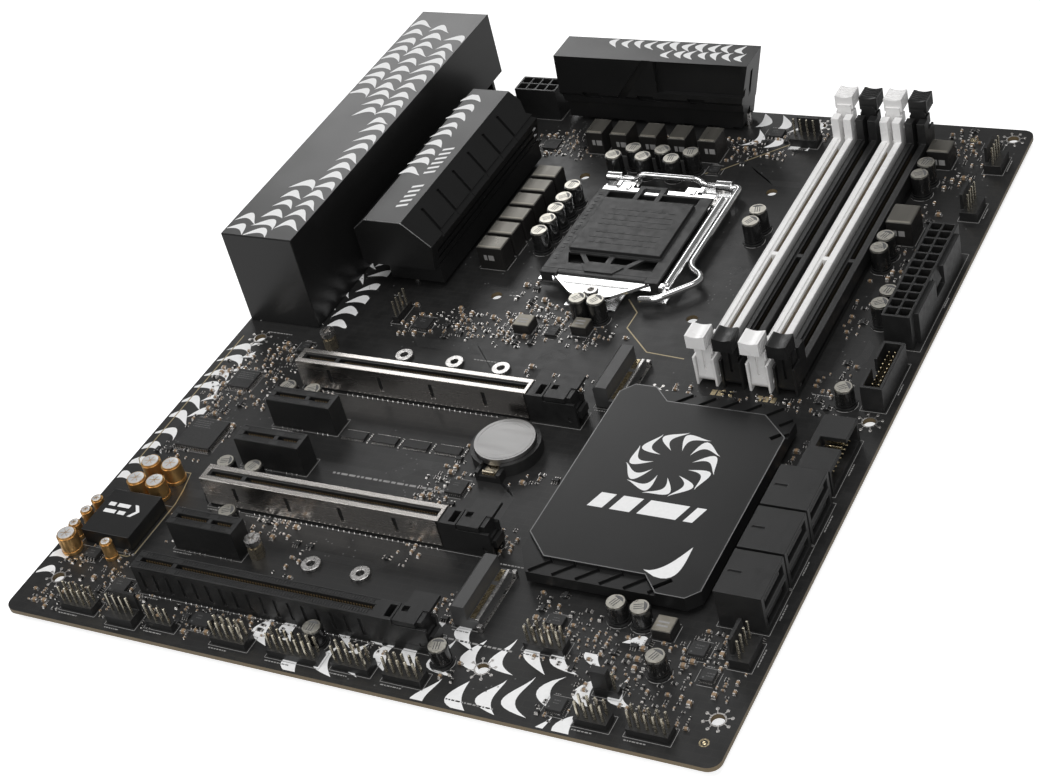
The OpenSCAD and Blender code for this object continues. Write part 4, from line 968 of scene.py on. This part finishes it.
def capacitor_details():
    """Vent lines and polarity marks on the tops, and moulded bases under the sleeves."""
    marks, bases = Batch(), Batch()
    for number, (x0, x1, y0, y1, _, z1) in enumerate(islands("cap_tops")):
        x, y, r = (x0 + x1) / 2, (y0 + y1) / 2, (x1 - x0) / 2
        start = len(marks.verts)
        for k in range(3):
            marks.box(x - r * 0.62, x + r * (0.3 + 0.1 * (number + k) % 0.3),
                      y - 0.9 + 0.8 * k, y - 0.6 + 0.8 * k, z1, z1 + 0.02)
        arc = [(x + r * 0.82 * math.cos(math.radians(a)), y + r * 0.82 * math.sin(math.radians(a)))
               for a in range(-55, 56, 10)]
        wedge = arc + [(x + r * 0.45, y + r * 0.62), (x + r * 0.45, y - r * 0.62)]
        marks.loft([(wedge, z1), (wedge, z1 + 0.02)])
        marks.turn(start, (x, y), (number * 47) % 90 + 20)
    for x0, x1, y0, y1, _, z1 in islands("cap_sleeves"):
        x, y, r = (x0 + x1) / 2, (y0 + y1) / 2, (x1 - x0) / 2
        c = r * 0.42
        outline_points = cut_rectangle(x - r - 0.25, x + r + 0.25, y - r - 0.25, y + r + 0.25, c)
        bases.loft([(outline_points, 0), (outline_points, 0.7)], 0)
        bases.ring(x, y, r, r + 0.12, 1.3, 1.7, 32, mark=0)
    make("cap_top_marks", marks, plain("cap_print", grey(0.07), grey(0.12), 0.5), sharp=0)
    make("cap_bases", bases, [MOULDED_DARK])
    tops = Batch()
    for x0, x1, y0, y1, _, z1 in islands("gold_caps"):
        x, y, r = (x0 + x1) / 2, (y0 + y1) / 2, (x1 - x0) / 2 - 0.75
        tops.turned(x, y, [(r, z1 - 0.02), (r, z1 + 0.10), (r * 0.93, z1 + 0.16), (r * 0.3, z1 + 0.13)], 32)
        for turn in (0, 60, 120):
            start = len(tops.verts)
            tops.box(x - r * 0.7, x + r * 0.7, y - 0.07, y + 0.07, z1 + 0.15, z1 + 0.2, mark=1)
            tops.turn(start, (x, y), turn + 15)
    make("gold_cap_tops", tops, [plain("cap_white_top", grey(0.62), grey(0.72), 0.4, metal=0.5), CAP_GOLD])


def choke_details():
    """Plates on the tall chokes and on the low ones, with marking bars."""
    plates = Batch()
    for x0, x1, y0, y1, _, z1 in islands("chokes"):
        if z1 > 6:
            plates.box(x0 + 0.35, x1 - 0.35, y0 + 0.3, y1 - 0.3, z1 - 0.02, z1 + 0.14, cut=0.12)
            plates.box(x0 + 0.6, x1 - 0.6, y0 + 0.5, y0 + 1.3, z1 + 0.12, z1 + 0.16, mark=2)
            plates.box(x0 + 2.4, x0 + 3.6, y0 - 0.03, y0, z1 - 5.4, z1 - 3.2, mark=1)
            plates.box(x0 + 4.2, x0 + 6.4, y0 - 0.03, y0, z1 - 5.4, z1 - 3.2, mark=1)
        else:
            plates.box(x0 + 0.3, x1 - 0.3, y0 + 0.3, y1 - 0.3, z1 - 0.02, z1 + 0.12, cut=0.1, mark=2)
            for k in range(2):
                plates.box(x0 + 1.2, x1 - 1.6, y0 + 1.8 + k * 1.5, y0 + 2.5 + k * 1.5, z1 + 0.12, z1 + 0.14,
                           mark=1)
    light = plain("choke_light", (0.20, 0.185, 0.15), (0.30, 0.28, 0.24), 0.4, metal=0.5)
    make("choke_plates", plates, [CHOKE_TOP, SILK, light])


# ---------- sockets, slots and connectors ----------

def slot_contacts():
    """Spring contacts in the memory and card channels, ribs on the card slots and their solder feet."""
    memory = Batch()
    # Contacts in the black slots take the darker copy of the contact colour, as painted shade in their dark
    # channels.
    for mark, node in enumerate(("dimm_white", "dimm_black")):
        for x0, x1, y0, y1, _, z1 in islands(node):
            cx = (x0 + x1) / 2
            for k in range(140):
                y = 158.4 + 0.85 * k
                if y < 279.6 and not 209.4 < y < 212.8:
                    for side in (-1, 1):
                        memory.box(*sorted((cx + side * 0.88, cx + side * 0.74)), y, y + 0.42, 3.4, 5.6,
                                   mark=mark)
    make("memory_contacts", memory, [CONTACT, CONTACT_PAINTED_SHADE], sharp=0)
    cards, ribs, feet = Batch(), Batch(), Batch()
    for node in ("pcie_long", "pcie_short"):
        for x0, x1, y0, y1, _, z1 in islands(node):
            cy = ((y0 + y1) / 2 if node == "pcie_short"
                  else round(((y0 + y1) / 2 - 21.4) / 20.32) * 20.32 + 21.4)
            end = min(x1, 131) - 1.6
            sleeved = node == "pcie_long" and cy > 30
            x = 45.4
            while x < end - 0.6:
                if not 55.4 < x < 58.6:
                    for side in (-1, 1):
                        cards.box(x, x + 0.45, *sorted((cy + side * 0.9, cy + side * 0.68)), 4.5, z1 - 1.2)
                        if not sleeved:
                            ribs.box(x - 0.28, x + 0.14, *sorted((cy + side * 1.5, cy + side * 3.0)),
                                     z1 - 0.02, z1 + 0.16, cut=0.05)
                    foot = cy - (4.35 if node == "pcie_long" else 4.45)
                    if int(x) % 2 == 0:
                        feet.turned(x, foot, [(0.42, 0), (0.34, 0.3), (0.16, 0.5)], 10)
                x += 1.0
            if not sleeved:
                for side in (-1, 1):
                    ribs.box(x0 + 0.6, end + 0.4, *sorted((cy + side * 3.1, cy + side * 3.5)),
                             z1 - 0.02, z1 + 0.16, cut=0.05)
                    ribs.box(x0 + 0.6, end + 0.4, *sorted((cy + side * 1.0, cy + side * 1.3)),
                             z1 - 0.02, z1 + 0.16, cut=0.05)
    make("card_slot_contacts", cards, CONTACT, sharp=0)
    make("card_slot_ribs", ribs, MOULDED)
    make("card_slot_solder", feet, SOLDER)


def memory_details():
    """Rail edges and a light line down each channel."""
    for node, material, slot in (("dimm_white", WHITE, "white_plastic"),
                                 ("dimm_black", MOULDED, "black_plastic")):
        trim = Batch()
        for x0, x1, _, _, _, _ in islands(node):
            cx = (x0 + x1) / 2
            for side in (-1, 1):
                for y in (154.6, 157.0, 281.2):
                    trim.box(*sorted((cx + side * 3.72, cx + side * 3.5)), y, y + 0.8, 0.4, 14.6, cut=0.08)
                trim.tube([(cx + side * 3.45, 158.0, 7.42), (cx + side * 3.45, 280.2, 7.42)], 0.26, 8)
        make(node + "_trim", trim, material)


def latch_details():
    """Finger ridges down the flanks of each latch head, and across the top of the far ones."""
    saddle_r, saddle_rise = 7.0, 6.45
    for number in (1, 2, 3, 4):
        for end in "sn":
            x0, x1, y0, y1, _, z1 = limits(f"latch_{number}{end}")
            cx = (x0 + x1) / 2
            ridges = Batch()
            head = y0 + 0.5 if end == "s" else y1 - 0.5
            inward = 1 if end == "s" else -1
            for k in range(5):
                y = head + inward * (0.5 + 1.15 * k)
                for side in (-1, 1):
                    ridges.box(*sorted((cx + side * 3.3, cx + side * 3.42)), y - 0.25, y + 0.25,
                               z1 - 4.6, z1 - 1.0, cut=0.05)
                if end == "n":
                    path = []
                    for n in range(13):
                        x = -3.1 + 6.2 * n / 12
                        dip = min(0.0, saddle_rise - math.sqrt(saddle_r ** 2 - x * x))
                        path.append((cx + x, y, z1 + dip))
                    ridges.tube(path, 0.3, 8)
            material = WHITE if number % 2 else MOULDED
            make(f"latch_{number}{end}_ridges", ridges, material, body=f"latch_{number}{end}")


def power_contacts():
    """Terminals down in the cells of the two power connectors, and rounded cell corners."""
    posts, rims = Batch(), Batch()
    for node, nx, ny in (("atx24_connector", 2, 12), ("eps8_connector", 4, 2)):
        x0, _, y0, _, _, top = limits(node)
        for i in range(nx):
            for j in range(ny):
                cx, cy = x0 + 2.6 + 4.2 * i, y0 + 2.6 + 4.2 * j
                posts.box(cx - 0.6, cx + 0.6, cy - 0.6, cy + 0.6, 3, 9.5, cut=0.2)
                for sx, sy in ((-1, -1), (1, -1)) if (i + j) % 2 else ():
                    corner = [(cx + sx * 1.7, cy + sy * 1.7), (cx + sx * 0.7, cy + sy * 1.7),
                              (cx + sx * 1.7, cy + sy * 0.7)]
                    if sx > 0:
                        corner = [corner[0], corner[2], corner[1]]
                    rims.loft([(corner, 3), (corner, top - 0.3)])
    make("power_terminals", posts, GOLD)
    make("power_cell_keys", rims, MOULDED)


def header_contacts():
    """Pins of the two USB 3 headers and the contact strips of the M.2 and SATA sockets."""
    pins = Batch()
    angled, upright = islands("usb3_headers")
    for k in range(10):
        y = angled[2] + 2.6 + 2.0 * k
        for z in (3.4, 5.9):
            if not (k in (4, 5) and z > 5):
                pins.box(angled[0] + 3.3, angled[1] - 1.6, y - 0.25, y + 0.25, z, z + 0.5, cut=0.08)
        y = upright[2] + 2.4 + 2.0 * k
        for x in (upright[0] + 2.6, upright[0] + 4.6):
            pins.box(x - 0.25, x + 0.25, y - 0.25, y + 0.25, 2, 7.2, cut=0.08)
    make("usb3_pins", pins, GOLD)
    strips = Batch()
    for x0, x1, y0, y1, _, _ in islands("sata_blocks"):
        for floor in (1.6, 8.0):
            for k in range(15):
                if k != 7:
                    y = y0 + 3.6 + 0.69 * k
                    strips.box(x0 + 6.6, x1 - 1.2, y, y + 0.36, floor + 2.7, floor + 2.78)
    make("sata_contacts", strips, GOLD, sharp=0)
    # Painted highlight: lighter grey strips on the black SATA mouths stand for their rounded edges catching
    # the light.
    rims = Batch()
    for x0, x1, y0, y1, _, _ in islands("sata_blocks"):
        for floor in (1.6, 8.0):
            rims.box(x1 - 0.02, x1 + 0.12, y0 + 1.3, y0 + 16.1, floor + 4.3, floor + 4.6, cut=0.05)
    make("sata_mouth_highlight_strips", rims, M2_GREY)
    rows, rail = Batch(), Batch()
    for x0, x1, y0, y1, _, _ in islands("m2_connectors"):
        for k in range(38):
            y = y0 + 1.2 + 0.54 * k
            if not 15.0 < y - y0 < 16.6:
                rows.box(x0 + 5.4, x0 + 7.0, y, y + 0.28, 3.18, 3.5)
                rows.box(x0 + 1.0, x0 + 3.4, y, y + 0.28, 5.9, 6.15)
                rows.box(x1 - 0.1, x1 + 0.9, y, y + 0.26, 0.02, 0.25, mark=1)
        rail.box(x0 + 7.4, x1 - 0.1, y0 + 0.6, y1 - 0.6, 3.18, 3.7, cut=0.15)
        rail.box(x1 - 0.4, x1 + 1.2, y0 - 1.0, y0 + 0.6, 0, 2.4, cut=0.2)
        rail.box(x1 - 0.4, x1 + 1.2, y1 - 0.6, y1 + 1.0, 0, 2.4, cut=0.2)
    make("m2_contacts", rows, [GOLD, TIN], sharp=0)
    make("m2_rails", rail, STEEL)


def card_switches():
    """Four flat switch chips between the short slots, with bright pads along the near side."""
    flat = Batch()
    for k in range(4):
        x = 69.6 + 12 * k
        flat.box(x, x + 9.0, 98.3, 101.8, 0.05, 0.75, cut=0.08, mark=2)
        for n in range(14):
            px = x + 0.35 + 0.62 * n
            flat.box(px, px + 0.34, 97.6, 98.4, 0.02, 0.2, mark=0)
            flat.box(px, px + 0.34, 101.7, 102.4, 0.02, 0.2, mark=0)
        for n in range(3):
            two_ended(flat, x + 10.6, 98.0 + 1.7 * n, 1.0, 0.5, 0.4, 90, BLACK)
    make("lane_switches", flat, SMALL_MATERIALS)


def memory_pads():
    """A row of gold pads between the memory slots and the chipset heatsink."""
    pads = Batch()
    for x in (183.4, 185.6, 199.0, 201.4, 203.8):
        pads.box(x, x + 1.7, 143.6, 146.2, 0, 0.04, mark=0)
    for x in (187.6, 190.2):
        two_ended(pads, x, 145, 2.0, 1.2, 0.6, 90, 5)
    make("test_pads", pads, [GOLD, SOLDER, EPOXY, SILK, CERAMIC, RESISTOR])


def solder_tails():
    """Pin ends and fillets on the underside, under every through-hole connector."""
    tails = Batch()

    def tail(x, y, r=0.62, drop=1.1):
        tails.turned(x, y, [(0.22, -BOARD_T - drop), (0.3, -BOARD_T - drop * 0.6), (r, -BOARD_T - 0.06),
                            (r + 0.08, -BOARD_T)], 8)

    for x0, x1, y0, y1, _, z1 in islands("pins"):
        tail((x0 + x1) / 2, (y0 + y1) / 2)
    for node in ("dimm_white", "dimm_black"):
        for x0, x1, y0, y1, _, z1 in islands(node):
            for k in range(72):
                for side in (-1, 1):
                    tail((x0 + x1) / 2 + side * (1.2 if k % 2 else 2.4), 158.5 + 1.7 * k, 0.42, 0.7)
    for node, sides in (("pcie_long", (-1.6, 1.6)), ("pcie_short", (-1.6, 1.6))):
        for x0, x1, y0, y1, _, z1 in islands(node):
            cy = round(((y0 + y1) / 2 - 21.4) / 20.32) * 20.32 + 21.4
            for k in range(int((min(x1, 131) - 46) / 2)):
                for side in sides:
                    tail(45.5 + 2 * k + (0 if side > 0 else 1), cy + side, 0.42, 0.7)
    for node, nx, ny in (("atx24_connector", 2, 12), ("eps8_connector", 4, 2)):
        x0, _, y0, _, _, _ = limits(node)
        for i in range(nx):
            for j in range(ny):
                tail(x0 + 2.6 + 4.2 * i, y0 + 2.6 + 4.2 * j, 1.1, 1.6)
    for node, step in (("cap_sleeves", 1.25), ("gold_caps", 1.25), ("chokes", 2.6)):
        for x0, x1, y0, y1, _, z1 in islands(node):
            if z1 > 5 and y1 < 250 or node != "chokes" and z1 > 5:
                x, y = (x0 + x1) / 2, (y0 + y1) / 2
                for side in (-1, 1):
                    tail(x + side * step, y, 0.8, 0.9)
    for node in ("rear_port_shells", "audio_jacks", "sata_blocks", "usb3_headers"):
        for x0, x1, y0, y1, _, z1 in islands(node):
            nx, ny = max(2, int((x1 - x0) / 4)), max(2, int((y1 - y0) / 2.4))
            for i in range(nx):
                for j in range(ny):
                    tail(max(x0, 2) + 2 + i * 2.6, y0 + 1.6 + j * (y1 - y0 - 3.2) / (ny - 1), 0.6, 1.0)
    make("underside_solder", tails, SOLDER)
    under = Batch()
    dice = random.Random(31)
    for _ in range(230):
        x, y = dice.uniform(10, BOARD_X - 10), dice.uniform(10, BOARD_Y - 10)
        x0, x1, y0, y1, _, _ = limits("cpu_backplate")
        covered = x0 - 2 < x < x1 + 2 and y0 - 2 < y < y1 + 2
        if not covered and all(abs(x - a) + abs(y - b) > 9 for a, b in mount_points()):
            start = len(under.verts)
            two_ended(under, x, y, 1.6, 0.8, 0.5, dice.choice((0, 90)), dice.choice((TAN, BLACK)))
            for i in range(start, len(under.verts)):
                v = under.verts[i]
                under.verts[i] = Vector((v.x, v.y, -BOARD_T - v.z))
    for k, face in enumerate(under.faces):
        under.faces[k] = list(reversed(face))
    make("underside_parts", under, SMALL_MATERIALS)


def rear_ports():
    """Coloured rings in the audio jacks, port linings, lamps, screws and spring fingers."""
    _, _, y0, y1, _, _ = limits("audio_jacks")
    rings = Batch()
    spots = [(y, z) for z in (7, 20) for y in (158, 168.1, 178.2)]
    turn = Matrix.Rotation(math.radians(-90), 3, "Y")
    for number, (y, z) in enumerate(spots):
        start = len(rings.verts)
        rings.ring(0, 0, 1.82, 3.5, 0, 0.9, 32, mark=number)
        for i in range(start, len(rings.verts)):
            v = turn @ rings.verts[i]
            rings.verts[i] = Vector((v.x - 1.2, v.y + y, v.z + z))
    make("audio_jack_rings", rings, JACKS)
    metal, lamps = Batch(), Batch()
    for x0, x1, y0, y1, _, z1 in islands("rear_port_shells"):
        tall = z1 > 14
        for k in range(3 if y1 - y0 < 20 else 5):
            y = y0 + (y1 - y0) * (k + 0.5) / (3 if y1 - y0 < 20 else 5)
            metal.box(x0 + 2.5, x1 - 3, y - 0.7, y + 0.7, z1 - 0.02, z1 + 0.3, cut=0.12)
        if tall:
            metal.box(x0 - 0.2, x0 + 0.4, y0 - 0.5, y1 + 0.5, z1 - 0.4, z1 + 0.3, cut=0.1)
        if z1 > 25:
            for y in (y0 + 1.4, y1 - 3.4):
                lamps.box(x0 - 0.12, x0 + 0.3, y, y + 2.0, 16.3, 17.4, cut=0.1)
        if y1 - y0 > 30:
            for y in (y0 + 3.2, y1 - 3.2):
                start = len(metal.verts)
                metal.turned(0, 0, [(2.6, 0), (2.6, 2.6), (1.3, 2.6), (1.3, 1.0)], 6)
                for i in range(start, len(metal.verts)):
                    v = turn @ metal.verts[i]
                    metal.verts[i] = Vector((v.x - 1.4, v.y + y, v.z + 6.4))
    make("port_springs", metal, STEEL)
    make("network_lamps", lamps, plain("lamp", (0.5, 0.35, 0.05), (0.65, 0.5, 0.1), 0.3))


# ---------- processor socket ----------

def load_lever():
    """The bent wire lever with its cranked axle, standing for the CAD lever."""
    z = 3.6
    axle = 250.5
    radius = 1.2
    corners = [(99.6, axle, z), (111, axle, z), (113.6, axle + 0.4, z + 2), (136, axle + 0.4, z + 2),
               (138.6, axle, z), (152.4, axle, z), (152.4, 204.5, z), (154, 201.8, z), (158, 199, z),
               (159.2, 196.4, z), (158, 193.6, z), (149.2, 184.6, z), (147, 183.1, z), (142.4, 182.3, z)]
    wire = Batch()
    path = filleted(corners, 1.8, 6)
    wire.tube(path, radius, 20)
    tip = Vector(corners[-1])
    back = (Vector(corners[-2]) - tip).normalized()
    cap = Batch()
    cap.tube([tip - back * 0.45, tip - back * 0.4, tip - back * 0.2, tip + back * 0.1], radius * 0.72, 20)
    wire.add(cap.verts, cap.faces)
    lever = make("load_lever_wire", wire, CHROME, body="load_lever", sharp=60)
    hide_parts("load_lever")


def socket_details():
    """Bars, corner lips and a raised tab on the cover, ribs on the load plate, a rolled frame edge."""
    bars = Batch()
    x0, x1, y0, _, z0, z1 = limits("socket_cover")
    dice = random.Random(3)
    for row in range(7):
        y = 226 - 3.1 * row - (1.6 if row > 3 else 0)
        x = 113 - (1.2 if row in (2, 3, 5) else 0)
        while x < 136.5:
            step = dice.uniform(1.1, 2.6)
            bars.box(x, x + step, y, y + 1.15, z1 - 0.02, z1 + 0.07)
            x += step + 0.55
    for k in range(19):
        bars.box(103.2, 104.6, 196 + 2.2 * k, 196.7 + 2.2 * k, z0 + 0.88, z0 + 1.0)
    make("cover_bars", bars, COVER_BLACK, body="socket_cover", sharp=0)
    lips = Batch()
    for a, b in ((x0, x0 + 6.6), (x1 - 5.2, x1)):
        lips.box(a, b, y0 - 2.5, y0 + 0.3, z0 + 0.06, z0 + 0.86, cut=0.2)
    # the lips hang outside the nose of the load plate
    for a, b in ((x0, x0 + 4.3), (x1 - 3.3, x1)):
        lips.box(a, b, y0 - 2.5, y0 - 1.85, z0 - 3.2, z0 + 0.5, cut=0.15)
    lips.box(x0 + 6.5, x1 - 5.1, y0 - 1.6, y0 + 0.3, z0 + 0.06, z0 + 0.8, cut=0.15)
    tab = [(118, y0 - 0.2), (128.6, y0 - 0.2), (131.5, y0 + 3.7), (115, y0 + 3.7)]
    lips.loft([(tab, z0 + 0.85), (tab, z0 + 1.25)])
    # a wall below the far windows
    lips.box(x0 + 3.6, x1 - 3.2, 238.3, 238.9, z0 - 3.0, z0 + 0.02)
    make("cover_lips", lips, COVER_BLACK, body="socket_cover")
    ribs = Batch()
    ribs.tube([(112.6, 185.0, z0), (137.0, 185.0, z0)], 0.4, 12)
    for x in (109.4, 135.1):
        ribs.box(x, x + 3.4, 241.4, 244.4, z0 - 0.02, z0 + 0.4, cut=0.18)
    make("load_plate_ribs", ribs, CHROME, body="load_plate")
    roll = Batch()
    roll.tube([(149.1, 190.5, 4.2), (149.1, 242.0, 4.2)], 1.25, 16)
    make("ilm_rolled_edges", roll, CHROME)


def cell_details():
    """A pressed ring and rim on the coin cell, and the contact's fold."""
    x0, x1, y0, y1, _, z1 = limits("coin_cell")
    x, y, r = (x0 + x1) / 2, (y0 + y1) / 2, (x1 - x0) / 2
    face = Batch()
    face.ring(x, y, r - 1.15, r - 0.75, z1 - 0.02, z1 + 0.07, 96)
    face.ring(x, y, r - 2.6, r - 2.45, z1 - 0.02, z1 + 0.02, 96)
    make("cell_rim", face, CELL, body="coin_cell")
    x0, x1, y0, y1, _, z1 = limits("battery_contact")
    fold = Batch()
    fold.tube([(x0 + 0.2, y0 + 0.5, z1 + 0.5), (x1 - 0.2, y0 + 0.5, z1 + 0.5)], 0.55, 12)
    make("contact_fold", fold, BRASS)


def heatsink_details():
    """Bright machined edges round the chipset heatsink's top, and a machined rim on the west heatsink's near
    end.
    """
    _, _, y0, _, _, z1 = limits("chipset_heatsink")
    top = z1
    edges = Batch()
    near = [(158.3, 65.4), (167.0, 56.8), (199.9, 56.8), (205.7, 50.5), (214.7, 50.5), (218.2, 54.2),
            (218.2, 121.3)]
    far = [(208.5, 130.2), (175.5, 130.2), (169.3, 136.1), (162.1, 136.1), (158.3, 131.9), (158.3, 65.4)]
    for path in (near, far, [near[-1], far[0]]):
        edges.ribbon([tuple(p) for p in path], 0.34, top - 0.02, top + 0.012)
    make("chipset_edges", edges, MACHINED, sharp=0)
    _, _, y0, _, _, z1 = limits("west_heatsink")
    rim = Batch()
    profile = [(36.6, 25.0), (41.7, 29.2), (57.0, 29.2), (67.1, 20.1)]
    path = filleted([(x, y0 + 0.05, z) for x, z in profile], 0.6, 3)
    rim.tube(path, 0.2, 8)
    make("west_heatsink_rim", rim, MACHINED)


hole_plating()
exposed_lines()
silkscreen()
faint_tracks()
small_parts()
chip_leads()
vias()
shroud_artwork()
heatsink_artwork()
board_artwork()
chipset_artwork()
heatsink_marks()
capacitor_details()
choke_details()
slot_contacts()
memory_details()
latch_details()
power_contacts()
header_contacts()
card_switches()
memory_pads()
solder_tails()
rear_ports()
load_lever()
socket_details()
cell_details()
heatsink_details()


# ---------- floor, lights and camera ----------

def soft_light(name, place, target, size, power, shape="DISK"):
    data = bpy.data.lights.new(name, "AREA")
    data.shape = shape
    data.size = size
    data.energy = power
    lamp = bpy.data.objects.new(name, data)
    lamp.location = place
    lamp.rotation_euler = (Vector(target) - Vector(place)).to_track_quat("-Z", "Y").to_euler()
    bpy.context.scene.collection.objects.link(lamp)


def camera_only(tree, bright, dim):
    """Mixes two shaders: bright for what the camera sees itself, dim for all other light."""
    seen = tree.nodes.new("ShaderNodeLightPath").outputs["Is Camera Ray"]
    mixer = tree.nodes.new("ShaderNodeMixShader")
    tree.links.new(seen, mixer.inputs[0])
    tree.links.new(dim, mixer.inputs[1])
    tree.links.new(bright, mixer.inputs[2])
    return mixer.outputs[0]


def studio():
    low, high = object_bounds()
    centre = (low + high) / 2
    bpy.ops.mesh.primitive_plane_add(size=40, location=(centre.x, centre.y, low.z - 0.0006))
    floor = bpy.context.object
    floor.name = "studio_floor"
    pale = Shading("pale_floor", grey(0.63), grey(0.67), 0.9, grain=3, bump=0.0, specular=0.1)
    tree = pale.material.node_tree
    glow = tree.nodes.new("ShaderNodeEmission")
    glow.inputs["Strength"].default_value = 0.72
    both = tree.nodes.new("ShaderNodeAddShader")
    tree.links.new(pale.shader.outputs[0], both.inputs[0])
    tree.links.new(glow.outputs[0], both.inputs[1])
    shown = camera_only(tree, both.outputs[0], pale.shader.outputs[0])
    tree.links.new(shown, tree.nodes["Material Output"].inputs["Surface"])
    floor.data.materials.append(pale.material)

    world = bpy.data.worlds.new("studio_world")
    world.use_nodes = True
    tree = world.node_tree
    white, dim = tree.nodes["Background"], tree.nodes.new("ShaderNodeBackground")
    white.inputs["Color"].default_value = (1, 1, 1, 1)
    dim.inputs["Color"].default_value = (1, 1, 1, 1)
    dim.inputs["Strength"].default_value = 0.18
    tree.links.new(camera_only(tree, white.outputs[0], dim.outputs[0]),
                   tree.nodes["World Output"].inputs["Surface"])
    bpy.context.scene.world = world
    soft_light("left_softbox", centre + Vector((-0.75, -0.45, 0.85)), centre, 0.7, 4.0)
    soft_light("back_softbox", centre + Vector((-0.68, 0.98, 0.63)), centre, 0.55, 2.2)
    soft_light("top_softbox", centre + Vector((0.15, -0.05, 1.1)), centre, 0.8, 6.2)
    soft_light("front_fill", centre + Vector((0.5, -0.8, 0.5)), centre, 0.8, 4.6)
    bpy.context.scene.view_settings.view_transform = "Standard"


def camera():
    data = bpy.data.cameras.new("photo_camera")
    data.lens = 71.65
    data.sensor_width = 36
    data.clip_start, data.clip_end = 0.01, 30
    eye = bpy.data.objects.new("photo_camera", data)
    right = Vector((0.8762814, 0.4334274, -0.2104083))
    up = Vector((-0.1251289, 0.6264593, 0.7693448))
    back = Vector((0.4652674, -0.6478344, 0.6031889))
    turn = Matrix((right, up, back)).transposed()
    eye.matrix_world = Matrix.Translation((0.426648, -0.324973, 0.412801)) @ turn.to_4x4()
    bpy.context.scene.collection.objects.link(eye)
    bpy.context.scene.camera = eye


studio()
camera()
